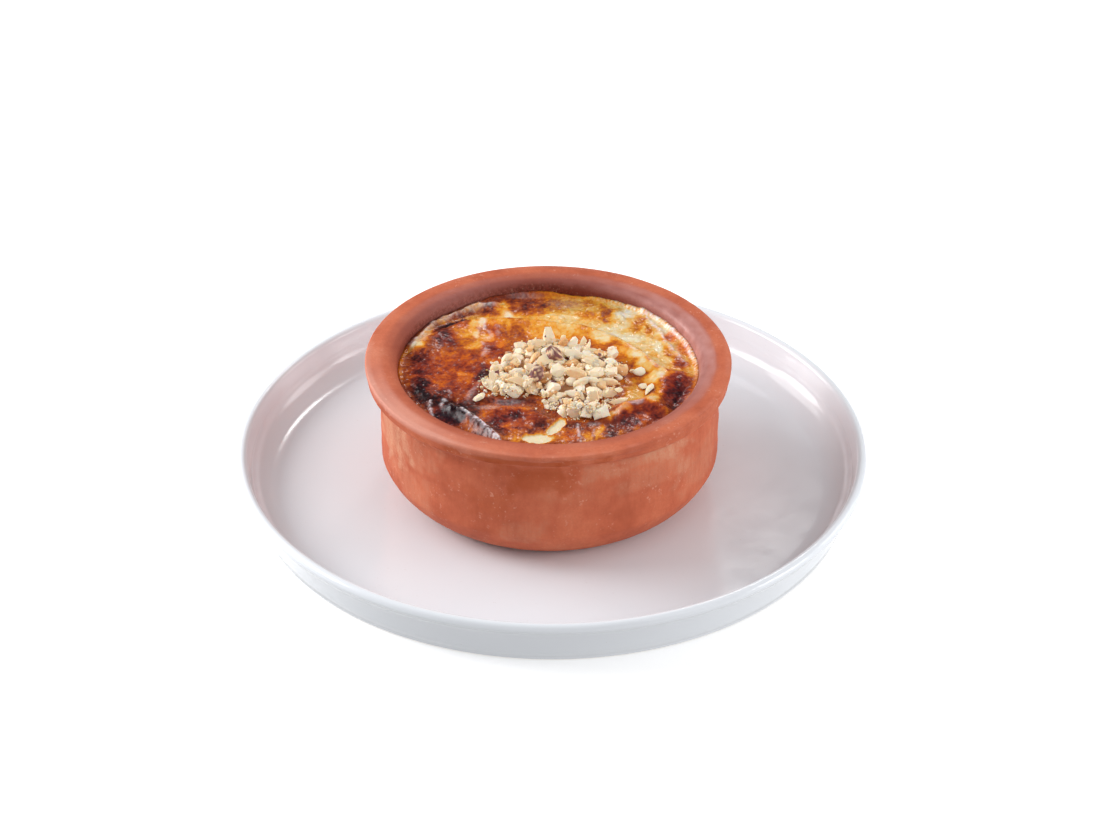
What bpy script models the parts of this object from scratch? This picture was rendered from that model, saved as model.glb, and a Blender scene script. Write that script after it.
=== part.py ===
"""Oven-baked rice pudding in a small clay bowl, topped with chopped hazelnuts, on a white plate.

Metres, +Z up. The origin is the middle of the plate's foot, so the plate stands on Z = 0, and +Y
points to the back, where the pudding's skin is palest. There are four closed solids: the plate,
the clay bowl that stands on it, the pudding that fills the bowl, and the heap of nuts on top.
"""

import math

import bmesh
import bpy
from mathutils import Vector, noise

MM = 0.001
GAP = 0.3 * MM  # between two pieces that touch
SEGMENTS = 72  # facets round a turned piece
HEAP_SEGMENTS = 48

# Plate: a flat floor inside a low rim that leans outwards to a rounded lip.
PLATE_RADIUS = 103.1 * MM
PLATE_HEIGHT = 17.1 * MM
PLATE_BASE_RADIUS = 96.8 * MM
PLATE_FLOOR_Z = 4.2 * MM
PLATE_FLOOR_RADIUS = 88.5 * MM
PLATE_COVE_REACH = 10.0 * MM
PLATE_COVE_RISE = 8.0 * MM
PLATE_LIP_THICKNESS = 3.5 * MM
PLATE_LIP_UNDERCUT = 1.2 * MM
PLATE_FOOT_WIDTH = 7.0 * MM
PLATE_RECESS_Z = 0.8 * MM

# Bowl: hand-thrown, with a flat collar that overhangs the wall and a broad rounded foot.
BOWL_X = -0.7 * MM
BOWL_Y = 0.3 * MM
BOWL_BASE_Z = PLATE_FLOOR_Z + GAP
BOWL_HEIGHT = 45.6 * MM
BOWL_TOP_Z = BOWL_BASE_Z + BOWL_HEIGHT
BOWL_BASE_RADIUS = 42.3 * MM
BOWL_WALL_RADIUS = 54.9 * MM
BOWL_NECK_RADIUS = 54.4 * MM
BOWL_FOOT_RISE = 12.8 * MM
BOWL_FOOT_ROUNDNESS = 1.43  # 1 is a straight chamfer, 2 an ellipse
COLLAR_RADIUS = 59.3 * MM
COLLAR_FACE_HEIGHT = 3.4 * MM
COLLAR_UNDERCUT = 3.2 * MM
COLLAR_CREST_RADIUS = 57.3 * MM
COLLAR_MOUTH_RADIUS = 51.3 * MM
CAVITY_RADIUS = 48.7 * MM
CAVITY_FLARE_DEPTH = 5.2 * MM
CAVITY_FLOOR_Z = BOWL_BASE_Z + 5.5 * MM
CAVITY_FLOOR_RADIUS = 34.0 * MM
CAVITY_COVE_RISE = 12.0 * MM

# The bowl's mouth was thrown a little off its foot, and a little lower on the right.
MOUTH_DRIFT_X = -0.45 * MM
MOUTH_LEAN = -0.006
LEAN_START_Z = BOWL_BASE_Z + 0.6 * BOWL_HEIGHT
LEAN_END_Z = BOWL_BASE_Z + 0.9 * BOWL_HEIGHT

# Pudding: its edge clings to the wall below the mouth, and the baked skin lies in folds.
PUDDING_RADIUS = CAVITY_RADIUS - GAP
PUDDING_EDGE_Z = BOWL_TOP_Z - 4.7 * MM
PUDDING_DOME = 0.9 * MM
PUDDING_RINGS = 15
CREAM_SINK = 0.5 * MM  # the pale, unbroken pudding behind the skin's edge lies lower
UNDULATION = 0.35 * MM
UNDULATION_SCALE = 14.0 * MM

# Each fold is a smooth line over (x, y), its height, and how far it spreads to its left and right.
SKIN_FOLDS = {
    "skin_edge": (
        ((-42, 15), (-36, 23), (-26, 29), (-10, 29), (4, 26), (16, 22), (28, 11), (36, -1), (44, -3)),
        1.4,
        1.8,
        6.0,
    ),
    "front_left_fold": (((-34, -20), (-28, -27), (-22, -35), (-17, -42)), 2.2, 2.6, 2.6),
    "left_wrinkle": (((-42, -8), (-38, -16), (-32, -25)), 1.5, 2.2, 2.2),
    "front_right_fold": (((19, -29), (24, -24), (31, -22), (38, -26)), 1.8, 2.6, 2.6),
    "right_patch": (((36, -6), (37, -12), (33, -20)), 1.2, 3.5, 3.0),
}
HEAP_REST_RADIUS = 27.0 * MM  # the folds flatten out under the weight of the nuts
HEAP_REST_FADE = 7.0 * MM

# Heap of nuts: overlapping mounds, each (x, y, half width, half depth, height).
HEAP_X = 2.0 * MM
HEAP_Y = -4.0 * MM
HEAP_MOUNDS = {
    "main": (1, -2, 19, 15.5, 4.8),
    "peak": (0, 5, 13, 10, 7.6),
    "left_spill": (-14, -10, 9, 8, 3.4),
    "right_shoulder": (12, -4, 13.5, 13, 4.8),
    "front_spill": (10, -21, 10, 10, 2.6),
}
HEAP_OUTLINE_BLEND_DEG = 6
HEAP_EDGE_THICKNESS = 1.7 * MM
HEAP_RINGS = 8
HEAP_LUMP = 1.3 * MM
HEAP_LUMP_SCALE = 4.5 * MM


def ellipse_arc(centre, reach, start_deg, end_deg, steps):
    """Points along an ellipse in the profile plane, both ends included."""
    points = []
    for step in range(steps + 1):
        angle = math.radians(start_deg + (end_deg - start_deg) * step / steps)
        points.append(
            (centre[0] + reach[0] * math.cos(angle), centre[1] + reach[1] * math.sin(angle))
        )
    return points


def superellipse_arc(centre, reach, power, steps):
    """Points from the outer side of a rounded foot down to its base, both ends included."""
    points = []
    for step in range(steps + 1):
        angle = math.pi / 2 * step / steps
        across = math.cos(angle) ** (2 / power) if step < steps else 0.0
        down = math.sin(angle) ** (2 / power)
        points.append((centre[0] + reach[0] * across, centre[1] - reach[1] * down))
    return points


def smooth(value, low, high):
    """0 below low, 1 above high and an even S between them."""
    share = min(max((value - low) / (high - low), 0.0), 1.0)
    return share * share * (3 - 2 * share)


def mouth_lean(x, y, z):
    """Shifts a point of the bowl or its contents from a true turned form to the thrown one."""
    share = smooth(z, LEAN_START_Z, LEAN_END_Z)
    return Vector((x + MOUTH_DRIFT_X * share, y, z + MOUTH_LEAN * x * share))


def plate_profile():
    """From the middle of the floor out over the lip and back under the foot."""
    lip_reach = PLATE_LIP_THICKNESS / 2
    lip_centre = (PLATE_RADIUS - lip_reach, PLATE_HEIGHT - lip_reach)
    foot_outer = PLATE_BASE_RADIUS - 1.2 * MM
    return [
        (0.0, PLATE_FLOOR_Z),
        *ellipse_arc(
            (PLATE_FLOOR_RADIUS, PLATE_FLOOR_Z + PLATE_COVE_RISE),
            (PLATE_COVE_REACH, PLATE_COVE_RISE),
            -90,
            0,
            4,
        ),
        *ellipse_arc(lip_centre, (lip_reach, lip_reach), 165, -45, 5),
        (PLATE_RADIUS - PLATE_LIP_UNDERCUT, lip_centre[1] - 2.0 * MM),
        (PLATE_BASE_RADIUS, 1.0 * MM),
        (foot_outer, 0.0),
        (foot_outer - PLATE_FOOT_WIDTH, 0.0),
        (foot_outer - PLATE_FOOT_WIDTH - 1.0 * MM, PLATE_RECESS_Z),
        (0.0, PLATE_RECESS_Z),
    ]


def cavity_arc(offset, steps):
    """The rounding between the cavity's floor and its wall, moved inwards by offset."""
    centre = (CAVITY_FLOOR_RADIUS, CAVITY_FLOOR_Z + CAVITY_COVE_RISE)
    reach = (CAVITY_RADIUS - CAVITY_FLOOR_RADIUS - offset, CAVITY_COVE_RISE - offset)
    return ellipse_arc(centre, reach, -90, 0, steps)


def bowl_profile():
    """From the middle of the cavity's floor up, over the collar and down to the base."""
    face_low = BOWL_TOP_Z - COLLAR_FACE_HEIGHT
    crest = ellipse_arc(
        (COLLAR_CREST_RADIUS, BOWL_TOP_Z - 1.9 * MM),
        (COLLAR_RADIUS - COLLAR_CREST_RADIUS, 1.7 * MM),
        80,
        0,
        3,
    )
    underside = ellipse_arc(
        (BOWL_NECK_RADIUS + 1.2 * MM, face_low),
        (COLLAR_RADIUS - BOWL_NECK_RADIUS - 1.2 * MM, COLLAR_UNDERCUT),
        0,
        -80,
        3,
    )
    foot = superellipse_arc(
        (BOWL_BASE_RADIUS, BOWL_BASE_Z + BOWL_FOOT_RISE),
        (BOWL_WALL_RADIUS - BOWL_BASE_RADIUS, BOWL_FOOT_RISE),
        BOWL_FOOT_ROUNDNESS,
        5,
    )
    return [
        (0.0, CAVITY_FLOOR_Z),
        *cavity_arc(0.0, 4),
        (CAVITY_RADIUS, BOWL_TOP_Z - CAVITY_FLARE_DEPTH),
        (CAVITY_RADIUS + 0.9 * MM, BOWL_TOP_Z - 2.4 * MM),
        (COLLAR_MOUTH_RADIUS - 0.6 * MM, BOWL_TOP_Z - 0.6 * MM),
        (COLLAR_MOUTH_RADIUS + 0.7 * MM, BOWL_TOP_Z),
        *crest,
        *underside,
        (BOWL_NECK_RADIUS, face_low - COLLAR_UNDERCUT - 2.0 * MM),
        *foot,
        (0.0, BOWL_BASE_Z),
    ]


def pudding_profile():
    """From the middle of the surface out to the wall and down round the bottom."""
    surface = [
        (PUDDING_RADIUS * ring / PUDDING_RINGS, PUDDING_EDGE_Z) for ring in range(PUDDING_RINGS + 1)
    ]
    bottom = cavity_arc(GAP, 3)
    return surface + bottom[::-1] + [(0.0, CAVITY_FLOOR_Z + GAP)]


def heap_profile():
    """A disc of radius 1, with its top at z = 1 and its underside at z = 0."""
    top = [(ring / HEAP_RINGS, 1.0) for ring in range(HEAP_RINGS + 1)]
    return top + [(radius, 0.0) for radius, _ in reversed(top)]


def smooth_line(points, steps=6):
    """A Catmull-Rom line through the points, as short straight pieces."""
    ends = [points[0], *points, points[-1]]
    line = []
    for index in range(len(points) - 1):
        before, start, end, after = (Vector(p) for p in ends[index : index + 4])
        for step in range(steps):
            t = step / steps
            line.append(
                0.5
                * (
                    2 * start
                    + (end - before) * t
                    + (2 * before - 5 * start + 4 * end - after) * t * t
                    + (3 * start - before - 3 * end + after) * t * t * t
                )
            )
    line.append(Vector(points[-1]))
    return line


def beside_line(line, x, y):
    """How far (x, y) lies from the line: positive on the left of its direction."""
    spot = Vector((x, y))
    best = None
    for start, end in zip(line, line[1:]):
        along = end - start
        share = (spot - start).dot(along) / along.length_squared
        away = spot - (start + along * min(max(share, 0.0), 1.0))
        if best is None or away.length < abs(best):
            side = 1.0 if along.cross(away) >= 0 else -1.0
            best = side * away.length
    return best


FOLD_LINES = {name: smooth_line(fold[0]) for name, fold in SKIN_FOLDS.items()}


def folds_at(x, y):
    """Height of the skin's folds over (x, y), and how far the cream lies bare there, 0 to 1."""
    height = 0.0
    cream = 0.0
    for name, (_, top, spread_left, spread_right) in SKIN_FOLDS.items():
        away = beside_line(FOLD_LINES[name], x / MM, y / MM)
        spread = spread_left if away > 0 else spread_right
        height += top * MM * math.exp(-((away / spread) ** 2))
        if name == "skin_edge":
            cream = smooth(away, -1.0, 2.5)
    return height, cream


def surface_z(x, y):
    """The pudding's surface over a point that is measured from the bowl's axis."""
    radius = math.hypot(x, y)
    dome = PUDDING_DOME * (1 - (radius / PUDDING_RADIUS) ** 4)
    height, cream = folds_at(x, y)
    from_heap = math.hypot(x - HEAP_X, (y - HEAP_Y) * 1.15)
    free = smooth(from_heap, HEAP_REST_RADIUS - HEAP_REST_FADE, HEAP_REST_RADIUS)
    wave = UNDULATION * noise.noise(Vector((x, y, 0.0)) / UNDULATION_SCALE)
    wall = smooth(radius, PUDDING_RADIUS - 4 * MM, PUDDING_RADIUS)
    relief = (height * free + wave) * (1 - 0.7 * wall) - CREAM_SINK * cream
    return PUDDING_EDGE_Z + dome + relief


def mounds_reach(angle):
    """Distance from the heap's middle to the far side of its farthest mound."""
    step_x, step_y = math.cos(angle), math.sin(angle)
    reach = 0.0
    for x, y, half_width, half_depth, _ in HEAP_MOUNDS.values():
        from_x = (HEAP_X / MM - x) / half_width
        from_y = (HEAP_Y / MM - y) / half_depth
        a = (step_x / half_width) ** 2 + (step_y / half_depth) ** 2
        b = from_x * step_x / half_width + from_y * step_y / half_depth
        inside = b * b - a * (from_x**2 + from_y**2 - 1)
        if inside > 0:
            reach = max(reach, (math.sqrt(inside) - b) / a)
    return reach * MM


def heap_reach(angle):
    """Distance from the heap's middle to its outline, which runs smoothly from mound to mound."""
    turns = [math.radians(HEAP_OUTLINE_BLEND_DEG * step) for step in (-2, -1, 0, 1, 2)]
    return sum(mounds_reach(angle + turn) for turn in turns) / len(turns)


def heap_thickness(x, y, share):
    """Depth of nuts over (x, y); share is 0 at the heap's middle and 1 at its outline."""
    mound = 0.0
    for mid_x, mid_y, half_width, half_depth, height in HEAP_MOUNDS.values():
        spread = ((x / MM - mid_x) / half_width) ** 2 + ((y / MM - mid_y) / half_depth) ** 2
        mound = max(mound, height * MM * max(1 - spread, 0.0) ** 0.7)
    lump = HEAP_LUMP * noise.noise(Vector((x, y, 7 * MM)) / HEAP_LUMP_SCALE)
    return HEAP_EDGE_THICKNESS + mound + lump * (1 - share**6)


def turned_mesh(profile, segments):
    """A bmesh of the profile turned once round Z."""
    mesh = bmesh.new()
    corners = [mesh.verts.new((radius, 0.0, z)) for radius, z in profile]
    edges = [mesh.edges.new(pair) for pair in zip(corners, corners[1:])]
    bmesh.ops.spin(
        mesh,
        geom=corners + edges,
        cent=(0, 0, 0),
        axis=(0, 0, 1),
        angle=2 * math.pi,
        steps=segments,
        use_merge=True,
    )
    bmesh.ops.remove_doubles(mesh, verts=mesh.verts, dist=1e-6)
    bmesh.ops.recalc_face_normals(mesh, faces=mesh.faces)
    return mesh


def material(name, colour, roughness):
    made = bpy.data.materials.new(name)
    made.use_nodes = True
    shader = made.node_tree.nodes["Principled BSDF"]
    shader.inputs["Base Color"].default_value = (*colour, 1.0)
    shader.inputs["Roughness"].default_value = roughness
    shader.inputs["Metallic"].default_value = 0.0
    return made


def add_object(name, mesh, finish, x=0.0, y=0.0):
    data = bpy.data.meshes.new(name)
    mesh.to_mesh(data)
    mesh.free()
    data.shade_smooth()
    data.set_sharp_from_angle(angle=math.radians(40))
    data.materials.append(finish)
    made = bpy.data.objects.new(name, data)
    made.location = (x, y, 0.0)
    bpy.context.scene.collection.objects.link(made)
    return made


def add_plate():
    glaze = material("white_glaze", (0.86, 0.86, 0.88), 0.15)
    add_object("plate", turned_mesh(plate_profile(), SEGMENTS), glaze)


def add_bowl():
    mesh = turned_mesh(bowl_profile(), SEGMENTS)
    for vert in mesh.verts:
        vert.co = mouth_lean(*vert.co)
    clay = material("terracotta", (0.55, 0.19, 0.11), 0.85)
    add_object("clay_bowl", mesh, clay, BOWL_X, BOWL_Y)


def add_pudding():
    mesh = turned_mesh(pudding_profile(), SEGMENTS)
    for vert in mesh.verts:
        x, y, z = vert.co
        if z > PUDDING_EDGE_Z - GAP:
            z = surface_z(x, y)
        vert.co = mouth_lean(x, y, z)
    skin = material("baked_skin", (0.42, 0.13, 0.03), 0.35)
    add_object("rice_pudding", mesh, skin, BOWL_X, BOWL_Y)


def add_heap():
    mesh = turned_mesh(heap_profile(), HEAP_SEGMENTS)
    for vert in mesh.verts:
        share = math.hypot(vert.co.x, vert.co.y)
        angle = math.atan2(vert.co.y, vert.co.x)
        reach = heap_reach(angle) * share
        x = HEAP_X + reach * math.cos(angle)
        y = HEAP_Y + reach * math.sin(angle)
        z = surface_z(x, y) + GAP
        if vert.co.z > 0.5:
            z += heap_thickness(x, y, share)
        vert.co = mouth_lean(x, y, z)
    nut = material("hazelnut", (0.78, 0.66, 0.47), 0.6)
    add_object("hazelnut_heap", mesh, nut, BOWL_X, BOWL_Y)


def main():
    for old in list(bpy.data.objects):
        bpy.data.objects.remove(old)
    add_plate()
    add_bowl()
    add_pudding()
    add_heap()


main()
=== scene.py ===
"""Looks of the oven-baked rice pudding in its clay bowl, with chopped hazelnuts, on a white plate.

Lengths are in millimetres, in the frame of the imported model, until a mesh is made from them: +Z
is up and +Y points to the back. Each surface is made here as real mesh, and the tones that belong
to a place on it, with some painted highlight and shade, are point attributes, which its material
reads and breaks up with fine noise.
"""

import functools
import math

import bmesh
import bpy
import numpy as np
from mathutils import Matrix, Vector


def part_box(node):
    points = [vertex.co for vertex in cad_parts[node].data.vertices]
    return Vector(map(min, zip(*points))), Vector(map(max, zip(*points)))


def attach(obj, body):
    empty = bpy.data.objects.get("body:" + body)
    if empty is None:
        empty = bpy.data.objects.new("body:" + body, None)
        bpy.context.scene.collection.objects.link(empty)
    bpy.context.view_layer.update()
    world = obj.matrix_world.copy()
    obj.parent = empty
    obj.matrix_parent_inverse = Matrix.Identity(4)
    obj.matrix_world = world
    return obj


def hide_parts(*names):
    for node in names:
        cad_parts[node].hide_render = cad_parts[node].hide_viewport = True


MM = 0.001
TURN = 2 * math.pi

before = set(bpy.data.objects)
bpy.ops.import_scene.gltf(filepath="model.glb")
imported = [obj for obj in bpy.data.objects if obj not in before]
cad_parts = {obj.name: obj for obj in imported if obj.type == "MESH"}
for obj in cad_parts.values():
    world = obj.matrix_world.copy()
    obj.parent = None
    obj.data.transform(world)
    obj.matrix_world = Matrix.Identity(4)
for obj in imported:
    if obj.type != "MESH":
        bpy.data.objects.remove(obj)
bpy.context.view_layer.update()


def box_mm(node):
    low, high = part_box(node)
    return np.array(low) / MM, np.array(high) / MM


PLATE_BOX = box_mm("plate")
BOWL_BOX = box_mm("clay_bowl")
HEAP_BOX = box_mm("hazelnut_heap")
TOP_LIMIT = HEAP_BOX[1][2] - 0.05  # nothing in the heap stands above its solid


# ---------------------------------------------------------------- numbers and noise


def smooth(value, low, high):
    """0 below low, 1 above high and an even S between them."""
    share = np.clip((value - low) / (high - low), 0.0, 1.0)
    return share * share * (3 - 2 * share)


def mix(a, b, share):
    return a + (b - a) * share


NOISE_SIZE = 64


def noise(x, y, scale, seed):
    """Gradient noise over a plane, from about -1 to 1; it repeats after 64 cells."""
    turns = np.random.default_rng(seed).uniform(0, TURN, (NOISE_SIZE, NOISE_SIZE))
    step_x, step_y = np.cos(turns), np.sin(turns)
    u, v = np.asarray(x) / scale, np.asarray(y) / scale
    left, low = np.floor(u).astype(int), np.floor(v).astype(int)
    u, v = u - left, v - low
    fade_u = u * u * u * (u * (u * 6 - 15) + 10)
    fade_v = v * v * v * (v * (v * 6 - 15) + 10)

    def corner(i, j):
        a, b = (left + i) % NOISE_SIZE, (low + j) % NOISE_SIZE
        return step_x[a, b] * (u - i) + step_y[a, b] * (v - j)

    near = mix(corner(0, 0), corner(1, 0), fade_u)
    far = mix(corner(0, 1), corner(1, 1), fade_u)
    return 1.5 * mix(near, far, fade_v)


def fractal(x, y, scale, seed, octaves=3):
    """Noise with finer and weaker noise on it, from about -1 to 1."""
    total, weight, size = 0.0, 0.0, 1.0
    for octave in range(octaves):
        total = total + size * noise(x, y, scale / 2**octave, seed + octave)
        weight += size
        size *= 0.55
    return total / weight


def creases(x, y, scale, seed, octaves=2):
    """1 along thin crooked lines and towards 0 between them."""
    total = 0.0
    for octave in range(octaves):
        line = 1 - np.minimum(np.abs(noise(x, y, scale / 2**octave, seed + octave)) * 2.2, 1)
        total = total + line**2 / 2**octave
    return total / (2 - 0.5 ** (octaves - 1))


def spot(x, y, mid_x, mid_y, reach_x, reach_y, turn_deg=0.0):
    """Squared distance from a spot's middle, where 1 is its edge."""
    turn = math.radians(turn_deg)
    along = (x - mid_x) * math.cos(turn) + (y - mid_y) * math.sin(turn)
    across = (y - mid_y) * math.cos(turn) - (x - mid_x) * math.sin(turn)
    return (along / reach_x) ** 2 + (across / reach_y) ** 2


# ---------------------------------------------------------------- meshes


def make_mesh(name, points, faces, sharp_deg=None):
    """A mesh of points in millimetres; faces is a list of index arrays, all outward."""
    mesh = bpy.data.meshes.new(name)
    rows = [row for block in faces for row in np.asarray(block).tolist()]
    mesh.from_pydata((np.asarray(points) * MM).tolist(), [], rows)
    mesh.shade_smooth()
    if sharp_deg is not None:
        mesh.set_sharp_from_angle(angle=math.radians(sharp_deg))
    mesh.update()
    return mesh


def add_piece(name, mesh, material, node):
    """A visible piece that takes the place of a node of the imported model."""
    mesh.materials.append(material)
    made = bpy.data.objects.new(name, mesh)
    bpy.context.scene.collection.objects.link(made)
    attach(made, "root")
    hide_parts(node)


def set_values(mesh, name, values):
    """Lays a number on each point, for the materials to read."""
    layer = mesh.attributes.new(name, "FLOAT", "POINT")
    layer.data.foreach_set("value", np.asarray(values, dtype=np.float32).ravel())


def lathe(profile, segments):
    """Points, faces and the points' angles of a closed form turned round Z."""
    profile = np.asarray(profile, dtype=float)
    inner = profile[1:-1]
    count = len(inner)
    angles = np.arange(segments) * TURN / segments
    ring_r, ring_z = inner[:, 0], inner[:, 1]
    x = np.cos(angles)[:, None] * ring_r
    y = np.sin(angles)[:, None] * ring_r
    z = np.broadcast_to(ring_z, x.shape)
    points = np.stack([x, y, z], -1).reshape(-1, 3)
    poles = np.array([[0, 0, profile[0, 1]], [0, 0, profile[-1, 1]]])
    points = np.concatenate([points, poles])
    here = np.arange(segments)[:, None] * count + np.arange(count - 1)
    there = (np.arange(segments)[:, None] + 1) % segments * count + np.arange(count - 1)
    quads = np.stack([here, here + 1, there + 1, there], -1).reshape(-1, 4)
    first = np.arange(segments) * count
    second = (np.arange(segments) + 1) % segments * count
    start = np.full(segments, segments * count)
    top = np.stack([start, first, second], -1)
    bottom = np.stack([start + 1, second + count - 1, first + count - 1], -1)
    turn = np.concatenate([np.repeat(angles, count), [0, 0]])
    return points, [quads, top, bottom], turn


def ellipse_arc(centre, reach, start_deg, end_deg, steps):
    """Points along an ellipse in the profile plane, both ends included."""
    angles = np.radians(np.linspace(start_deg, end_deg, steps + 1))
    x = centre[0] + reach[0] * np.cos(angles)
    return list(zip(x, centre[1] + reach[1] * np.sin(angles)))


def even_profile(points, step):
    """The same line with points about one step apart, its corners kept."""
    line = [points[0]]
    for start, end in zip(points, points[1:]):
        length = math.hypot(end[0] - start[0], end[1] - start[1])
        cuts = max(1, round(length / step))
        for cut in range(1, cuts + 1):
            share = cut / cuts
            line.append((mix(start[0], end[0], share), mix(start[1], end[1], share)))
    return line


# ---------------------------------------------------------------- materials


def feed(socket, value):
    """Links a field to a shader's input, or sets a plain number, vector or colour on it."""
    if isinstance(value, Field):
        value.tree.links.new(value.socket, socket)
    elif socket.type == "RGBA":
        socket.default_value = (*value, 1.0)
    else:
        socket.default_value = value


class Field:
    """A number or a colour at each point of a surface, as the output of a shader node."""

    def __init__(self, tree, kind, inputs, output=0, **settings):
        node = tree.nodes.new("ShaderNode" + kind)
        for key, value in settings.items():
            setattr(node, key, value)
        for key, value in inputs.items():
            feed(node.inputs[key], value)
        self.tree, self.node, self.socket = tree, node, node.outputs[output]

    def maths(self, operation, other=0.0, clamp=False):
        return Field(self.tree, "Math", {0: self, 1: other}, operation=operation, use_clamp=clamp)

    def __add__(self, other):
        return self.maths("ADD", other)

    def __sub__(self, other):
        return self.maths("SUBTRACT", other)

    def __mul__(self, other):
        return self.maths("MULTIPLY", other)

    def positive(self):
        return self.maths("MAXIMUM", 0.0)

    def ranged(self, low, high, to_low=0.0, to_high=1.0):
        limits = {"From Min": low, "From Max": high, "To Min": to_low, "To Max": to_high}
        return Field(self.tree, "MapRange", {"Value": self, **limits})

    def between(self, a, b, blend="MIX"):
        """Colour a where this field is 0, and colour b, or a blended with b, where it is 1."""
        inputs = {0: self, 6: a, 7: b}
        return Field(self.tree, "Mix", inputs, 2, data_type="RGBA", blend_type=blend)

    def ramp(self, stops):
        """A colour ramp of (position, (r, g, b)) stops."""
        made = Field(self.tree, "ValToRGB", {"Fac": self})
        ramp = made.node.color_ramp
        while len(ramp.elements) < len(stops):
            ramp.elements.new(0.5)
        for element, (position, colour) in zip(ramp.elements, stops):
            element.position = position
            element.color = (*colour, 1.0)
        return made


class Finish:
    """A material, whose shader is fed with fields over the surface."""

    def __init__(self, name):
        self.material = bpy.data.materials.new(name)
        self.material.use_nodes = True
        self.tree = self.material.node_tree

    @functools.cached_property
    def place(self):
        return self.stretched((1, 1, 1))

    def stretched(self, stretch):
        """Object coordinates in millimetres, stretched along each axis."""
        coordinates = Field(self.tree, "TexCoord", {}, "Object")
        scale = tuple(1000 / value for value in stretch)
        return Field(self.tree, "Mapping", {"Vector": coordinates, "Scale": scale})

    def noise(self, size, detail=2.0, rough=0.5, place=None):
        """Noise of about this size in millimetres, from 0 to 1."""
        inputs = {"Vector": place or self.place, "Scale": 1 / size}
        return Field(self.tree, "TexNoise", {**inputs, "Detail": detail, "Roughness": rough})

    def value(self, name):
        """What set_values laid on the points of the mesh."""
        return Field(self.tree, "Attribute", {}, "Fac", attribute_name=name)

    def set(self, inputs):
        for key, value in inputs.items():
            feed(self.tree.nodes["Principled BSDF"].inputs[key], value)

    def bump(self, height, distance_mm, strength):
        inputs = {"Height": height, "Distance": distance_mm * MM, "Strength": strength}
        self.set({"Normal": Field(self.tree, "Bump", inputs)})


# ---------------------------------------------------------------- plate

PLATE_RADIUS = PLATE_BOX[1][0]
PLATE_HEIGHT = 17.1
PLATE_FLOOR_Z = 4.2
PLATE_LIP = 1.75  # half the lip's thickness
PLATE_RECESS_Z = 0.85
PLATE_SEGMENTS = 320


def plate_profile():
    """From the middle of the floor out over the lip and back under the foot."""
    lip_x, lip_z = PLATE_RADIUS - PLATE_LIP, PLATE_HEIGHT - PLATE_LIP - 0.02
    inner_wall = ellipse_arc((88.5, PLATE_FLOOR_Z + 8), (10.0, 8.0), -90, 0, 26)
    return [
        *[(radius, PLATE_FLOOR_Z) for radius in np.linspace(0, 84, 22)],
        (86.5, PLATE_FLOOR_Z),
        *inner_wall,
        *ellipse_arc((lip_x, lip_z), (PLATE_LIP, PLATE_LIP), 168, -45, 24),
        (101.4, lip_z - 2.6),
        (100.6, lip_z - 4.4),
        (99.4, 8.2),
        (98.2, 4.6),
        (97.1, 1.6),
        *ellipse_arc((95.6, 1.2), (1.3, 1.2), 10, -90, 6),
        (92.1, 0.0),
        *ellipse_arc((88.6, 0.8), (0.8, 0.8), -90, -180, 4),
        (84.0, PLATE_RECESS_Z),
        *[(radius, PLATE_RECESS_Z) for radius in np.linspace(70, 0, 8)],
    ]


def glaze_material():
    finish = Finish("white_glaze")
    bare = finish.value("bare")
    speck = finish.noise(0.9, 1).ranged(0.76, 0.80)
    white = finish.noise(45, 3).between((0.83, 0.86, 0.91), (0.87, 0.90, 0.95))
    white = (speck * 0.25).between(white, (0.62, 0.58, 0.55))
    worn = finish.noise(14, 4, 0.6).ranged(0.3, 0.75, 0.09, 0.22)
    unglazed = (0.74, 0.72, 0.68)
    finish.set(
        {
            "Base Color": bare.between(white, unglazed),
            "Roughness": worn + bare * 0.55,
            "IOR": 1.5,
        }
    )
    orange_peel = finish.noise(5.0, 2)
    finish.bump(orange_peel, 0.05, 0.6)
    return finish.material


def add_plate():
    points, faces, _ = lathe(plate_profile(), PLATE_SEGMENTS)
    x, y, z = points.T
    sag = 0.12 * noise(x, y, 60, 11) * smooth(np.hypot(x, y), 40, 90)
    points[:, 2] = np.where(z > 0.5, z + np.clip(sag, -0.1, 0.0), z)
    mesh = make_mesh("plate_glazed", points, faces)
    set_values(mesh, "bare", (z < 0.3) & (np.hypot(x, y) > 88))
    add_piece("plate_glazed", mesh, glaze_material(), "plate")


# ---------------------------------------------------------------- bowl

BOWL_X = -0.7
BOWL_Y = 0.3
BASE_Z = BOWL_BOX[0][2]
BOWL_SEGMENTS = 420
BOWL_TOP_Z = 50.1
BASE_RADIUS = 42.3
FOOT_REACH = 12.6  # from the base's edge out to the wall
FOOT_RISE = 12.8
FOOT_ROUNDNESS = 1.43  # 1 is a straight chamfer, 2 an ellipse
WALL_RADIUS = 54.9
COLLAR_LOW_Z = 45.5  # where the collar's face begins
CAVITY_RADIUS = 48.7
CAVITY_FLOOR_Z = 10.0
CAVITY_FLOOR_RADIUS = 34.0

# The mouth was thrown a little off its foot, and a little lower on the right.
MOUTH_DRIFT = -0.45
MOUTH_LEAN = -0.006
LEAN_START_Z = 31.86
LEAN_END_Z = 45.54

# The profile near the mouth, as radius and drop below the top.
MOUTH_AND_CREST = (
    (48.7, 5.4), (48.73, 4.4), (48.82, 3.4), (48.95, 2.5), (49.2, 1.7), (49.55, 1.1), (50.1, 0.7),
    (50.9, 0.45), (51.9, 0.25), (53.1, 0.08), (54.6, -0.04), (56.2, -0.05), (57.8, -0.02),
)
COLLAR_FACE = ((59.2, 1.6), (58.95, 2.8), (58.7, 3.9))
NECK = ((55.6, 6.4), (54.6, 7.6), (54.4, 9.2), (54.75, 10.4), (54.95, 12.5))


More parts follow.
